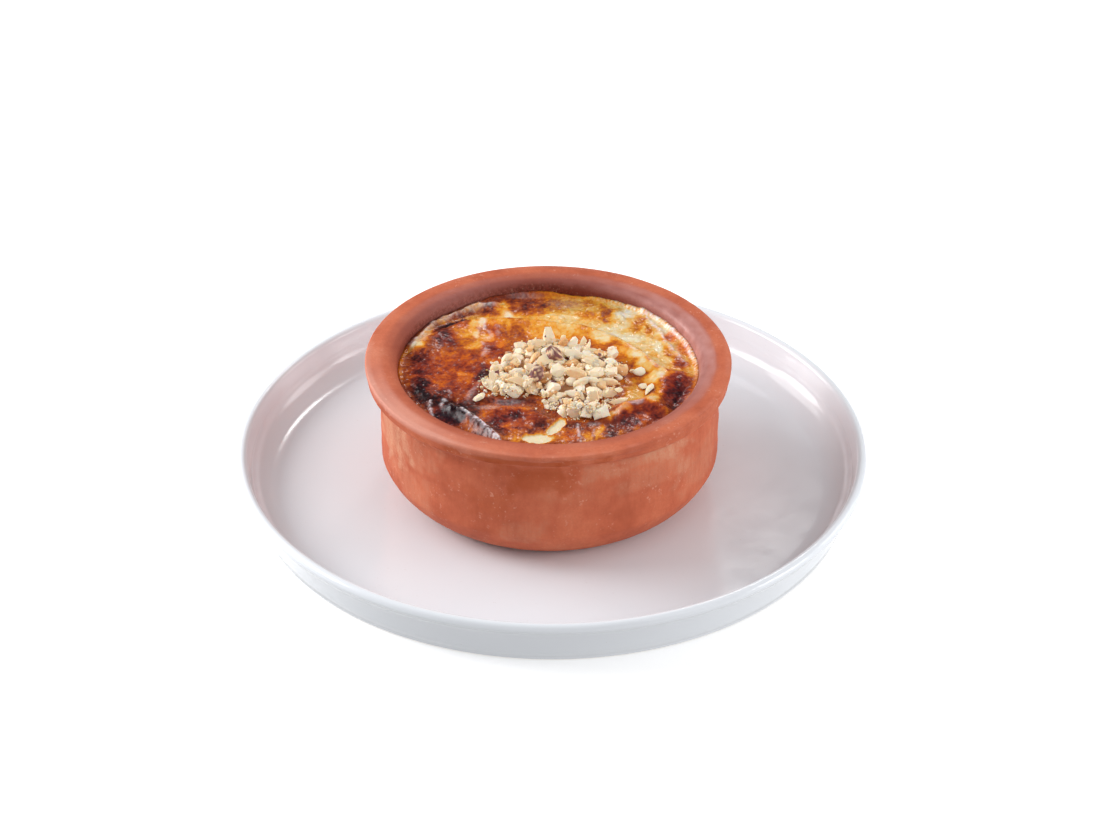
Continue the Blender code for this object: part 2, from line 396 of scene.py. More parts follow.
def mouth_lean(points):
    """Shifts points round the bowl's axis from a true turned form to the thrown one."""
    x, y, z = points.T
    share = smooth(z, LEAN_START_Z, LEAN_END_Z)
    return np.stack(
        [x + MOUTH_DRIFT * share + BOWL_X, y + BOWL_Y, z + MOUTH_LEAN * x * share], -1
    )


def below_top(rows):
    return [(radius, BOWL_TOP_Z - drop) for radius, drop in rows]


def bowl_profile():
    """From the middle of the cavity's floor up, over the collar and down to the base."""
    angles = np.linspace(0, math.pi / 2, 26)
    across = np.cos(angles).clip(0) ** (2 / FOOT_ROUNDNESS)
    down = np.sin(angles) ** (2 / FOOT_ROUNDNESS)
    foot = [
        (BASE_RADIUS + FOOT_REACH * a, BASE_Z + FOOT_RISE - FOOT_RISE * d)
        for a, d in zip(across, down)
    ]
    cove_centre = (CAVITY_FLOOR_RADIUS, CAVITY_FLOOR_Z + 12)
    cove_reach = (CAVITY_RADIUS - CAVITY_FLOOR_RADIUS, 12.0)
    line = [
        *[(radius, CAVITY_FLOOR_Z) for radius in np.linspace(0, 30, 7)],
        *ellipse_arc(cove_centre, cove_reach, -90, 0, 12),
        *below_top(MOUTH_AND_CREST),
        *ellipse_arc((58.6, BOWL_TOP_Z - 0.65), (0.65, 0.65), 90, 0, 8),
        *below_top(COLLAR_FACE),
        *ellipse_arc((56.9, BOWL_TOP_Z - 4.4), (1.7, 1.6), 5, -70, 8),
        *below_top(NECK),
        *foot,
        *[(radius, BASE_Z) for radius in np.linspace(38, 0, 6)],
    ]
    return even_profile(line, 0.9)


def front_bearing(turn):
    """Degrees from the front, with plus to the right, of an angle measured from +X."""
    return (np.degrees(turn) + 270) % 360 - 180


def towards(degrees, middle, reach):
    """1 where the bowl faces this bearing, falling off over the reach in degrees."""
    return np.exp(-((((degrees - middle + 180) % 360 - 180) / reach) ** 2))


def wall_noise(turn, along, scale, seed, octaves=3):
    """Noise over the wall that meets itself where a full turn ends."""
    here = fractal(turn * WALL_RADIUS, along, scale, seed, octaves)
    again = fractal((turn - TURN) * WALL_RADIUS, along, scale, seed, octaves)
    return mix(here, again, smooth(turn, TURN - 0.8, TURN))


def add_bowl():
    points, faces, turn = lathe(bowl_profile(), BOWL_SEGMENTS)
    z = points[:, 2]
    radius = np.hypot(points[:, 0], points[:, 1])
    outer = smooth(radius, 51.5, 53.0)
    wall = outer * (z < 42.5)
    throwing_rings = 0.10 * noise(z + 0.5 * np.sin(turn), z * 0, 1.9, 21) * wall
    throwing_rings += 0.12 * noise(z, np.sin(turn) * 2, 4.5, 22) * wall
    dents = 0.16 * wall_noise(turn, z * 2.0, 16, 23) * outer
    grain = 0.035 * wall_noise(turn, z, 1.3, 24, 2) * outer
    push = throwing_rings + dents + grain
    # The collar's widest part is only pushed inwards, to stay inside the solid's box.
    radius_now = radius + np.minimum(push, np.where(radius > 58.6, 0.0, push))
    stretch = np.where(radius > 1, radius_now / np.maximum(radius, 1), 1)
    points[:, :2] *= stretch[:, None]
    top_band = smooth(z, BOWL_TOP_Z - 1.6, BOWL_TOP_Z - 0.4)
    points[:, 2] += top_band * np.minimum(0.14 * wall_noise(turn, radius * 3, 22, 25), 0.0)
    # The collar's lower edge runs higher in front, a little to the right.
    z = points[:, 2]
    lifted = 2.0 * towards(front_bearing(turn), 6, 36) * outer
    for start, end in ((9.5, 4), (0.8, 4)):
        lifted = lifted * smooth(z, BOWL_TOP_Z - start, BOWL_TOP_Z - end)
    points[:, 2] = np.maximum(z + lifted, BASE_Z)
    points = mouth_lean(points)
    mesh = make_mesh("bowl_thrown", points, faces)
    set_bowl_tones(mesh, points[:, 2], radius, turn)
    add_piece("bowl_thrown", mesh, clay_material(), "clay_bowl")


def set_bowl_tones(mesh, z, radius, turn):
    """The values on the bowl's points that clay_material reads."""
    degrees = front_bearing(turn)
    set_values(mesh, "bloom_and_painted_light", wall_bloom_and_painted_light(z, radius, turn, degrees))
    for name, values in mouth_tones(z, radius, turn, degrees).items():
        set_values(mesh, name, values)
    # Slightly paler clay along the collar's outer edge, and a painted highlight on the edge and
    # the top face where they face the light at the front left.
    lit = towards(degrees, -56, 27)
    paler_edge_and_highlight = 0.1 + 1.25 * lit + 0.4 * wall_noise(turn, radius + z, 5, 34)
    paler_edge_and_highlight = np.exp(-(((radius - 58.4) / 0.8) ** 2)) * paler_edge_and_highlight
    paler_edge_and_highlight = paler_edge_and_highlight + 0.8 * lit * smooth(radius, 52.5, 55) * smooth(z, 48.6, 49.4)
    set_values(mesh, "paler_edge_and_highlight", np.clip(paler_edge_and_highlight, 0, 1) * (z > 48))


def wall_bloom_and_painted_light(z, radius, turn, degrees):
    """Chalky bloom on the wall, on the lit left side also a painted highlight, and, below zero,
    darker clay, which on the collar's face under the lip is a painted shade.
    """
    ragged = wall_noise(turn, z, 7, 31, 4)
    bloom_and_painted_light = 0.0
    for middle, reach, low, high, weight in BLOOM_AND_PAINTED_LIGHT:
        up = np.abs(z - (low + high) / 2) * 2 / (high - low)
        far = np.maximum(np.abs(degrees - middle) / reach, up)
        bloom_and_painted_light = bloom_and_painted_light + weight * smooth(ragged * 0.9 - far, -1.0, -0.45)
    # on the collar's face only the darkening is kept, a painted shade under the lip
    bloom_and_painted_light = np.where(z < COLLAR_LOW_Z, bloom_and_painted_light, np.minimum(bloom_and_painted_light, 0))
    return np.clip(bloom_and_painted_light, -1, 1) * ((radius > 53.5) & (z < 48.8))


def mouth_tones(z, radius, turn, degrees):
    """Darker inner slope, partly stained and partly painted shade; painted shade deep in the
    mouth; a painted sheen on the right and a milky film at the back left; and baked-on milk.
    """
    top = BOWL_TOP_Z
    inside = (z > 40) & ((radius < 53.5) | ((radius < 56) & (z > top - 2)))
    wander = 0.5 * wall_noise(turn, radius + z, 9, 35)
    to_left, to_right = towards(degrees, -74, 30), towards(degrees, 108, 50)
    to_back = towards(degrees, -142, 27)  # a thin milky film at the back left
    # slope: darker stained clay with painted shade on the inner slope, less at the front and the
    # left
    slope_stain_and_shade = smooth(radius + wander, 55.5, 52.8) * inside
    slope_stain_and_shade = slope_stain_and_shade * (0.5 + 0.5 * smooth(radius, 52.5, 50.5))
    slope_stain_and_shade = slope_stain_and_shade * (1 - 0.7 * towards(degrees, 0, 48)) * (1 - 0.82 * to_left)
    # painted shade low in the mouth, next to the pudding, least at the right, left and back left
    painted_deep_shade = smooth(z + wander, top - 0.3, top - 3.2) * inside
    painted_deep_shade = painted_deep_shade * (1 - 0.92 * to_right) * (1 - 0.75 * to_left) * (1 - 0.95 * to_back)
    low = smooth(z + wander, top - 1.9, top - 3.3)
    sheen_and_film_band = smooth(radius + wander, 55.0, 53.2) * inside
    # painted sheen: a pink reflection painted on the right inner slope, beside the milky film at
    # the back left
    glossy = to_right * np.clip(0.8 + 0.6 * wall_noise(turn, radius * 2 + z, 6, 36), 0, 1)
    glossy = glossy * (1 - 0.85 * low * (1 - towards(degrees, 96, 42)))
    milky = to_back * (0.27 + 0.12 * wall_noise(turn, radius * 2 + z, 2.5, 38))
    back_left = smooth(np.abs((degrees + 330) % 360 - 180), 52, 22)
    band = smooth(z + 1.1 * wall_noise(turn, z * 0, 3.5, 37), top - 0.5, top - 2.4)
    baked = inside * band * np.clip(back_left + 0.15, 0, 1) * (1 - 0.6 * to_back)
    painted_sheen_and_milk_film = sheen_and_film_band * np.maximum(glossy, milky)
    return {"slope_stain_and_shade": slope_stain_and_shade, "painted_deep_shade": painted_deep_shade, "painted_sheen_and_milk_film": painted_sheen_and_milk_film, "baked": baked}


# Pale chalky bloom, on the lit left side also a painted highlight, or, with a minus, darker clay,
# on the collar's face under the lip a painted shade: bearing, reach, lowest and highest z, weight.
BLOOM_AND_PAINTED_LIGHT = (
    (44, 13, 37, 46, 0.9), (38, 18, 28, 40, 0.3), (18, 9, 36, 44, 0.45), (5, 12, 30, 40, 0.15),
    (-8, 9, 12, 24, 0.3), (-52, 16, 28, 45, 0.35), (-68, 14, 26, 46, 0.95), (32, 8, 38, 45, 0.5),
    (-3, 15, 33, 46, -0.65), (-20, 9, 22, 34, -0.3), (-10, 32, 45.2, 49.2, -0.7),
    (-55, 14, 14, 30, 0.3), (60, 14, 18, 36, 0.35), (120, 26, 16, 40, 0.5),
    (-150, 30, 18, 38, 0.5),
)


CLAY_TONES = (
    (0.30, (0.43, 0.089, 0.038)),
    (0.46, (0.565, 0.133, 0.063)),
    (0.58, (0.635, 0.168, 0.082)),
    (0.74, (0.69, 0.228, 0.127)),
)

# What lies over the clay, from the lowest up: point value, strength, colour. They are a painted
# highlight on the paler collar edge, a stained slope with painted shade, painted shade deep in the
# mouth, and a painted sheen with a milky film.
CLAY_COATS = (
    ("paler_edge_and_highlight", 0.5, (0.82, 0.46, 0.38)),
    ("slope_stain_and_shade", 0.88, (0.217, 0.042, 0.029)),
    ("painted_deep_shade", 0.88, (0.155, 0.014, 0.004)),
    ("painted_sheen_and_milk_film", 0.88, (0.62, 0.30, 0.27)),
)


def clay_material():
    finish = Finish("terracotta")
    cloud = finish.noise(16, 4, 0.6)
    streak = finish.noise(2.2, 4, 0.6, finish.stretched((1, 1, 5)))
    grain = finish.noise(0.7, 3, 0.65)
    clay = (cloud * 0.8 + streak * 0.2).ramp(CLAY_TONES)
    clay = grain.ranged(0.35, 0.7, 0.0, 0.28).between(clay, (0.42, 0.10, 0.05))
    bloom_and_painted_light = finish.value("bloom_and_painted_light")
    stroke = grain.ranged(0.3, 0.6, 0.35, 0.85) * streak.ranged(0.35, 0.6, 0.6, 1.1)
    # pale chalky bloom, on the lit left side also a painted highlight
    clay = (bloom_and_painted_light.positive() * stroke).between(clay, (0.66, 0.32, 0.195))
    # darker clay, on the collar's face a painted shade under the lip
    clay = (bloom_and_painted_light * -1.0).positive().between(clay, (0.43, 0.078, 0.018))
    scuffed_areas = finish.noise(11, 2).ranged(0.48, 0.62, 0.0, 0.4)
    scuffs = finish.noise(1.3, 3, 0.6).ranged(0.60, 0.68) * scuffed_areas
    clay = scuffs.between(clay, (0.80, 0.40, 0.28))
    for name, strength, colour in CLAY_COATS:
        clay = (finish.value(name) * strength).between(clay, colour)
    specks = finish.noise(1.0, 3, 0.7).ranged(0.42, 0.54)
    crumbs = finish.noise(0.8, 3, 0.7).ranged(0.55, 0.66)
    baked_tone = crumbs.between((0.13, 0.022, 0.011), (0.44, 0.22, 0.16))
    clay = (finish.value("baked") * (specks * 0.85)).between(clay, baked_tone)
    rough = cloud.ranged(0.3, 0.7, 0.62, 0.78) - finish.value("painted_sheen_and_milk_film") * 0.34
    finish.set({"Base Color": clay, "Roughness": rough, "Specular IOR Level": 0.22})
    finish.bump(grain + streak * 0.2, 0.09, 0.8)
    return finish.material


# ---------------------------------------------------------------- pudding

PUDDING_RADIUS = 48.4
EDGE_Z = 45.4
DOME = 0.9
CREAM_SINK = 0.5  # the pale, unbroken pudding behind the skin's edge lies lower
WAVE = 0.35

# Each fold: its line from the bowl's axis, its height, and its spread to the left and right.
SKIN_FOLDS = {
    "skin_edge": (
        (
            (-42, 15), (-36, 23), (-26, 29), (-10, 29), (4, 26),
            (16, 22), (28, 11), (36, -1), (44, -3), (54, -7),
        ),
        1.4, 1.8, 6.0,
    ),
    "front_left_fold": (((-30, -25), (-26.5, -29.5), (-22, -35), (-17, -42)), 2.1, 2.4, 2.4),
    "left_wrinkle": (((-42, -8), (-38, -16), (-32, -25)), 0.7, 3.0, 3.0),
    "front_right_fold": (((19, -29), (24, -24), (31, -22), (38, -26)), 1.8, 2.6, 2.6),
    "right_patch": (((36, -6), (37, -12), (33, -20)), 1.2, 3.5, 3.0),
}
HEAP_X = 2.0
HEAP_Y = -4.0
# Overlapping mounds of nuts, each (x, y, half width, half depth, height).
HEAP_MOUNDS = (
    (1, -2, 19, 15.5, 4.8),
    (0, 5, 13, 10, 7.6),
    (-14, -10, 9, 8, 3.4),
    (12, -3, 13.5, 13.5, 6.0),
    (10, -21, 10, 10, 2.6),
)


def smooth_line(points, steps=6):
    """A Catmull-Rom line through the points, as short straight pieces."""
    ends = np.array([points[0], *points, points[-1]], dtype=float)
    line = []
    for index in range(len(points) - 1):
        before, start, end, after = ends[index : index + 4]
        for t in np.arange(steps) / steps:
            bend = (2 * before - 5 * start + 4 * end - after) * t * t
            twist = (3 * start - before - 3 * end + after) * t * t * t
            line.append(0.5 * (2 * start + (end - before) * t + bend + twist))
    line.append(ends[-1])
    return np.array(line)


def beside_line(points, x, y):
    """Distance from the line, positive on its left, and the length along it."""
    line = smooth_line(points)
    best = np.full(np.shape(x), 1e9)
    signed = np.zeros(np.shape(x))
    run = np.zeros(np.shape(x))
    start_length = 0.0
    for start, end in zip(line, line[1:]):
        along = end - start
        length = math.hypot(*along)
        share = ((x - start[0]) * along[0] + (y - start[1]) * along[1]) / length**2
        share = np.clip(share, 0, 1)
        off_x, off_y = x - start[0] - along[0] * share, y - start[1] - along[1] * share
        away = np.hypot(off_x, off_y)
        side = np.where(along[0] * off_y - along[1] * off_x >= 0, 1.0, -1.0)
        nearer = away < best
        best = np.where(nearer, away, best)
        signed = np.where(nearer, side * away, signed)
        run = np.where(nearer, start_length + share * length, run)
        start_length += length
    return signed, run


def across_line(points, x, y, spread_left, spread_right):
    """Distance from the line beside the spread on that side, and the plain signed distance."""
    away, _ = beside_line(points, x, y)
    return away / np.where(away > 0, spread_left, spread_right), away


def surface_form(x, y):
    """The pudding's main form over points from the bowl's axis, and how bare the cream lies."""
    radius = np.hypot(x, y)
    dome = DOME * (1 - (np.minimum(radius, PUDDING_RADIUS) / PUDDING_RADIUS) ** 4)
    height, cream = 0.0, 0.0
    for name, (line, top, spread_left, spread_right) in SKIN_FOLDS.items():
        share, away = across_line(line, x, y, spread_left, spread_right)
        height = height + top * np.exp(-(share**2))
        if name == "skin_edge":
            cream = smooth(away, -1.0, 2.5)
    from_heap = np.hypot(x - HEAP_X, (y - HEAP_Y) * 1.15)
    free = smooth(from_heap, 20, 27)  # the folds flatten out under the nuts
    wall = smooth(radius, PUDDING_RADIUS - 4, PUDDING_RADIUS)
    relief = (height * free + WAVE * noise(x, y, 14, 41)) * (1 - 0.7 * wall)
    return EDGE_Z + dome + relief - CREAM_SINK * cream, cream


# Dabs of browning, from 0 for raw cream to 1 for burnt: x, y, reach x, reach y, browning, weight,
# turn in degrees. They are painted in this order, in the frame's millimetres.
BROWNING_USUAL = (0.85, 0)  # weight and turn of the rows that leave them out
BROWNING = (
    # behind the skin's edge, left
    (-45, 16, 2.5, 3.5, 0.24, 0.9), (-42.5, 20, 2.6, 4.5, 0.32, 0.9, -20),
    (-43.5, 13.5, 2.5, 2, 0.16, 0.9), (-44, 10.8, 3, 1.6, 0.52, 0.8),
    (-40, 27, 2.4, 2.6, 0.42, 0.85, 45), (-37.5, 27.3, 1.8, 1.6, 0.55),
    (-35.5, 31.5, 2.6, 1.6, 0.3, 0.85, 50), (-31, 33.5, 3.4, 1.7, 0.62, 0.9, 45),
    (-33.5, 36, 3, 1.4, 0.5, 0.8, 45), (-29, 38, 2.4, 1.2, 0.5, 0.8, 45),
    (-25, 39.5, 3.4, 1.5, 0.26, 0.9, 35), (-26.5, 36, 2.6, 1.6, 0.55, 0.9, 45),
    (-23, 36.5, 2.2, 2.2, 0.5, 0.85, 30), (-20.5, 38, 1.4, 3.8, 0.62),
    (-18.5, 35, 1.8, 2.6, 0.42, 0.9), (-16.3, 39.5, 1.4, 3.6, 0.18, 0.9),
    (-14.3, 35, 2.3, 2.8, 0.1, 0.9), (-13, 41.5, 1.6, 3.6, 0.72), (-10.5, 38, 2.6, 5, 0.6, 0.9),
    (-8, 40.5, 2.2, 4, 0.71, 0.9), (-7.6, 36, 2, 2.6, 0.58, 0.9), (-8.5, 33, 2.6, 1.6, 0.42),
    (-9, 45.5, 9, 2.4, 0.8), (-20, 43, 4, 1.4, 0.7, 0.8, 30), (-3.5, 41, 2, 4.5, 0.66),
    (-4, 36, 1.6, 4, 0.45, 0.8),
    # behind the skin's edge, middle and right
    (1, 44, 3.4, 3, 0.52), (6, 43.5, 3.2, 3.2, 0.38), (10.5, 41.5, 2, 4, 0.28),
    (0, 38.5, 1.6, 3.2, 0.28), (3, 37, 1.6, 3.6, 0.38, 0.8), (-1.5, 33.2, 2.8, 2.4, 0.24, 0.9),
    (5, 35.5, 1.8, 4, 0.3, 0.8), (4.5, 31.5, 2.6, 2.6, 0.13, 0.85, 10),
    (12.5, 43.3, 1.4, 2.6, 0.5), (15.5, 43.5, 2.6, 1.8, 0.38), (20, 43, 2.5, 1.4, 0.3, 0.8, -15),
    (17.5, 39, 1.8, 3.4, 0.6, 0.9), (18.8, 37.8, 2.8, 1.6, 0.48, 0.8),
    (17.8, 34.5, 1.5, 2.6, 0.56, 0.9), (18.2, 31.8, 1.4, 1.8, 0.48), (21.3, 38.5, 1.6, 1.8, 0.44),
    (14, 38, 2, 3.2, 0.26, 0.8), (12, 35.5, 2.4, 2, 0.37, 0.8), (11.8, 31.8, 1.2, 3.4, 0.4, 0.8),
    (9, 36, 2, 2.6, 0.28, 0.75), (8.5, 28.5, 4.5, 4, 0.25, 0.8), (14, 29, 2, 4, 0.22, 0.7),
    (16.5, 26.5, 3.5, 2.6, 0.1, 0.85, -20), (24.5, 35.5, 3.2, 2.8, 0.05, 0.9),
    (24, 29, 2.2, 2.4, 0.09, 0.9), (27, 38.3, 4, 1.4, 0.05, 0.8, -25),
    (28.3, 28.2, 1.1, 4.2, 0.46, 0.9, -5), (27, 25.5, 1.8, 2.4, 0.3, 0.8),
    (29.8, 32.3, 1.2, 2.2, 0.44), (31, 28.8, 2.2, 1.3, 0.34, 0.8), (32, 25, 1.2, 3, 0.54, 0.9),
    (32, 21.2, 1.6, 1.8, 0.36), (33.6, 27, 1.3, 1.6, 0.3, 0.8),
    (34.3, 31, 2.2, 2.8, 0.07, 0.85, -40), (37.5, 26.5, 3, 2, 0.05, 0.9, -50),
    (38.8, 22, 1.7, 2.6, 0.52, 0.9), (41.5, 19, 1.6, 2.6, 0.36, 0.8, -10),
    (42.8, 14.5, 1.6, 3.6, 0.48, 0.85, 8), (36.3, 18, 1, 3.6, 0.42, 0.9, 4),
    (35, 15.3, 1.3, 3.2, 0, 0.9), (38.2, 11.8, 1.4, 3.6, 0.5, 0.88, 8),
    (34.3, 14.8, 1.5, 1.8, 0.02, 0.95), (30.5, 15, 4, 3.6, 0.2, 0.7),
    (27.5, 20.5, 3, 2.4, 0.07, 0.9), (23.7, 17, 1.8, 2.2, 0.32),
    (24.5, 14.2, 1.8, 1.6, 0.24, 0.8, -40), (22, 20.5, 4.5, 2.4, 0.05, 0.85, -30),
    (29.8, 9.8, 1.3, 2.2, 0.05, 0.9), (27, 12, 2.2, 1.8, 0.32, 0.8, -40),
    (32.8, 9.5, 1.4, 3, 0.34), (33.5, 5.5, 1.6, 2, 0.24), (36.5, 6.5, 1.6, 2.2, 0.22),
    (40.8, 8, 1.8, 2.6, 0.58), (42, 5, 2.4, 2.4, 0.68), (44.8, 8, 1, 5, 0.44, 0.8, 4),
    # the golden band inside the skin's edge
    (2, 24, 12, 6, 0.29, 0.85, -8), (12.5, 23.8, 2.2, 1.4, 0.68, 0.9, -30),
    (9.5, 25.2, 3, 0.9, 0.6, 0.85, -8), (11, 22, 1.4, 1.6, 0.42, 0.8), (5, 25.5, 3.5, 3, 0.22),
    (15.5, 19.5, 2.6, 4, 0.08, 0.85, 10), (18, 17, 2, 2.4, 0.16),
    (20.3, 17.8, 1.6, 2.4, 0.26, 0.8, 35), (25, 9, 4, 5, 0.26, 0.8, 40),
    (25.3, 5.2, 1.5, 2.4, 0.48), (22, 7, 2, 1.8, 0.54), (28, 6.5, 3, 1.6, 0.1, 0.85, -35),
    (29.2, 2.6, 1.6, 2, 0.1), (14, 23, 1.8, 2, 0.36, 0.8), (-7, 27, 5, 2.6, 0.38, 0.9),
    (-11, 26.5, 3.4, 3.4, 0.49, 0.9), (-12, 22.5, 2.6, 2.4, 0.56), (-4.5, 22.5, 4, 3.4, 0.36),
    (-14.3, 26, 0.9, 3, 0.3, 0.7), (-17.5, 27.5, 2.2, 2.2, 0.45), (-19.5, 24.5, 2.4, 3.4, 0.54),
    (-11, 29.6, 3, 1, 0.5, 0.8), (-17, 31.2, 7, 1.1, 0.18, 0.9, 4), (-7, 31, 4, 1, 0.42),
    (-25.8, 26, 1.2, 4.4, 0.28, 0.85, -8), (-23.2, 27.5, 1.1, 3, 0.2, 0.8, -15),
    (-24.8, 21, 1, 3, 0.25, 0.8, 5), (-29, 21.5, 2.2, 3.6, 0.4, 0.9, 10),
    (-29.5, 25.5, 1.8, 1.6, 0.62), (-33.5, 22.5, 1.8, 2.6, 0.62, 0.8),
    (-36, 21, 2.6, 3.2, 0.84, 0.9, 30), (-35, 17.5, 3.2, 2.8, 0.82, 0.9, -10),
    # the dark line from (-36.5, 24) to (-29.5, 29.8) is painted shadow in the groove under the
    # skin's raised edge
    (-36.5, 24, 2.4, 1.1, 0.9, 0.9, 45), (-33, 27, 2.4, 1.1, 0.9, 0.9, 45),
    (-29.5, 29.8, 2.4, 1, 0.88, 0.9, 35), (-28.5, 17, 2.4, 1.8, 0.6, 0.8),
    (-31.5, 14.8, 2, 1.6, 0.76, 0.8), (-20.7, 18.8, 2.6, 2.4, 0.3),
    (-16.5, 14.5, 1.5, 3.6, 0.4, 0.85, -10), (-16.8, 19.5, 1.8, 3, 0.52, 0.8, 20),
    (-20, 13, 2, 3.4, 0.72), (-24.5, 14, 1.6, 2.4, 0.42, 0.8, 10),
    (-27, 12.5, 1.4, 1.4, 0.34, 0.8), (-18, 9, 2.2, 3, 0.8),
    # left
    (-39, 12.5, 2.4, 2.4, 0.62), (-38, 8.8, 2, 1.8, 0.48, 0.8), (-34.5, 9.5, 2.6, 2, 0.48, 0.8),
    (-31.5, 11, 2, 2.4, 0.66, 0.8), (-28, 8, 2.4, 2.4, 0.55, 0.7), (-25, 8, 1.8, 2.4, 0.67, 0.8),
    (-43.5, 6, 3.4, 3.6, 0.91, 0.9, 5), (-40.5, 3.5, 2.2, 2, 0.76, 0.8),
    (-37, 3.5, 2.6, 2, 0.66, 0.8), (-33, 5, 2, 1.6, 0.52, 0.8), (-30, 3.5, 2.2, 1.6, 0.7, 0.8),
    (-26.5, 2.5, 2, 2.6, 0.56, 0.8), (-22.5, 3, 2, 3, 0.74, 0.8), (-42.5, -1.5, 3.2, 2.4, 0.88),
    (-46.8, -2, 1.2, 8, 0.62, 0.8), (-42.3, -8.5, 3, 3, 0.92, 0.9), (-44, -12.5, 2.4, 2.2, 0.84),
    (-41.8, -13.8, 1.4, 1.2, 0.98), (-40, -17.5, 2.6, 2.2, 0.86), (-38, -2.5, 2, 1.6, 0.72, 0.8),
    (-36, -0.5, 1.6, 1.2, 0.5, 0.8), (-38, -5.3, 2, 1.6, 0.58, 0.8), (-33, -2.5, 1.7, 1.4, 0.46),
    (-34, -5.2, 1.8, 1.3, 0.62, 0.8), (-28.8, -3.6, 1.8, 1.3, 0.26),
    (-26, -4.8, 1.6, 1.6, 0.48, 0.8), (-31, -7, 1.8, 1.6, 0.64, 0.8),
    (-36, -8.7, 2, 1.3, 0.5, 0.8), (-35.5, -11.5, 2, 1.4, 0.56, 0.8),
    (-28.3, -8, 1.8, 1.6, 0.46, 0.8), (-28.5, -10.7, 1.6, 1.4, 0.5, 0.8),
    (-31.5, -12.5, 1.8, 2.4, 0.64, 0.8), (-30, -15.7, 1.3, 2.4, 0.52, 0.85, -10),
    (-26, -11.5, 1.6, 2, 0.68, 0.8), (-24, -7, 1.6, 2.6, 0.74, 0.85, 10),
    (-21.8, -4, 1.8, 4.4, 0.84), (-24, -17, 1.8, 2.8, 0.88, 0.85, -10),
    (-38, -14, 1.8, 1.6, 0.52, 0.8), (-38.3, -17.7, 1, 2.6, 0.56, 0.8),
    (-35, -15, 1.6, 2.6, 0.88, 0.85, -20),
    # front left
    (-33, -22, 5.5, 4, 0.98, 0.95, -30), (-27, -22, 4, 2, 0.94, 0.9),
    (-31.5, -27, 4.5, 2.4, 0.98, 0.95, -20), (-35.5, -28, 3, 3.2, 0.93, 0.9, -20),
    (-31, -31.5, 3.4, 2, 0.9, 0.85, -35), (-24, -33, 2.4, 9.5, 0.9, 0.95, 33),
    (-28, -34.3, 2, 1.8, 0.62, 0.85, -30), (-25.5, -37.5, 1.6, 2.2, 0.64, 0.85, 30),
    (-24.5, -40, 2, 1.6, 0.84, 0.8), (-22.3, -28.5, 1.6, 3.4, 0.54, 0.85, 30),
    (-24.3, -25.5, 1.8, 2.4, 0.86, 0.85, 30), (-19, -22.5, 3, 1.8, 0.58),
    # (-13, -19.8): dark skin and a painted shade along the front foot of the heap
    (-13, -19.8, 8, 1.8, 0.88, 0.9), (-15, -23.6, 4, 1.4, 0.5, 0.85, 8),
    (-8, -24.3, 2.4, 1.4, 0.46, 0.85, -10), (-16.5, -27.3, 3, 2.2, 0.72),
    (-11.7, -27.6, 2.4, 2, 0.84), (-7.5, -27.5, 1.6, 1.6, 0.66, 0.8),
    (-18.5, -33, 2.2, 3.6, 0.88, 0.9), (-13, -30.3, 2, 1.4, 0.7, 0.8),
    (-14, -33.6, 1.7, 1.4, 0.38, 0.85, 20), (-9.8, -32.5, 2.4, 1.8, 0.46),
    (-7, -30, 1.8, 1.4, 0.52, 0.8), (-3.7, -32.5, 2.2, 3, 0.92, 0.9, 10),
    (-5.7, -36, 1.8, 1.6, 0.8), (-15, -37.3, 1.8, 1.8, 0.7), (-11, -36.6, 2.2, 1.6, 0.55),
    (-17.2, -37, 1.4, 2, 0.86, 0.8), (-14.7, -41.5, 1.6, 1.8, 0.56), (-11.5, -41, 1.6, 2.2, 0.44),
    (-2, -27, 4, 3, 0.72, 0.8),
    # front right
    (6, -39, 4.4, 3.6, 0.58), (6.5, -33.6, 2.4, 1.7, 0.86, 0.9), (3.3, -37.3, 1, 2.4, 0.5, 0.8),
    (11, -39, 1.6, 3, 0.42), (10.5, -35, 1.8, 1.8, 0.8), (14.6, -37.5, 1, 3, 0.3),
    (16.2, -35, 1.3, 2.2, 0.36, 0.9), (13, -32.8, 2.8, 1.2, 0.76), (18, -33, 1.6, 1.6, 0.78),
    (18.7, -37.6, 1.8, 3, 0.88, 0.95), (20.5, -35, 1.6, 2, 0.8, 0.9),
    (22.5, -31, 2.4, 2.2, 0.84, 0.9, 20), (22.3, -36.2, 1.2, 1.2, 0.5),
    (24.5, -34.5, 1.6, 2.4, 0.7), (26.8, -34.3, 1.1, 1.6, 0.42, 0.85, 10),
    (29, -32, 1.6, 1.2, 0.54, 0.85, 30), (26, -30.6, 1.8, 1.6, 0.76),
    (24.5, -27.8, 3.2, 1.7, 0.84, 0.92, 35), (30.5, -25, 3.6, 1.5, 0.82, 0.92, 15),
    (27, -22, 3.4, 1.7, 0.76, 0.9, 20), (29.5, -28.3, 1.8, 1.2, 0.54, 0.85, 20),
    (33, -28, 1.8, 1.8, 0.84), (33.5, -31, 1.6, 1.2, 0.74, 0.8, 40),
    (34.5, -23.6, 1.8, 1.8, 0.62), (36.2, -26.3, 1.2, 2, 0.42, 0.85, -10),
    (38, -28, 1.4, 1.6, 0.6, 0.8), (28.5, -20.3, 2, 1, 0.5),
    (20.8, -27.5, 0.9, 3.6, 0.24, 0.9, -35), (23.5, -24.3, 1.8, 1.8, 0.34),
    (24.3, -19.3, 2.2, 2.2, 0.28), (26.8, -14.8, 2.8, 3.8, 0.24, 0.9), (25.4, -10.5, 2, 2, 0.34),
    (23.8, -7, 2.4, 2.6, 0.54), (26.7, -6.5, 1.6, 1.6, 0.44, 0.8),
    (22.5, -12, 1.4, 1.8, 0.52, 0.8), (32.4, -19, 1.8, 2.4, 0.27), (34.4, -13.5, 1.2, 3.8, 0.38),
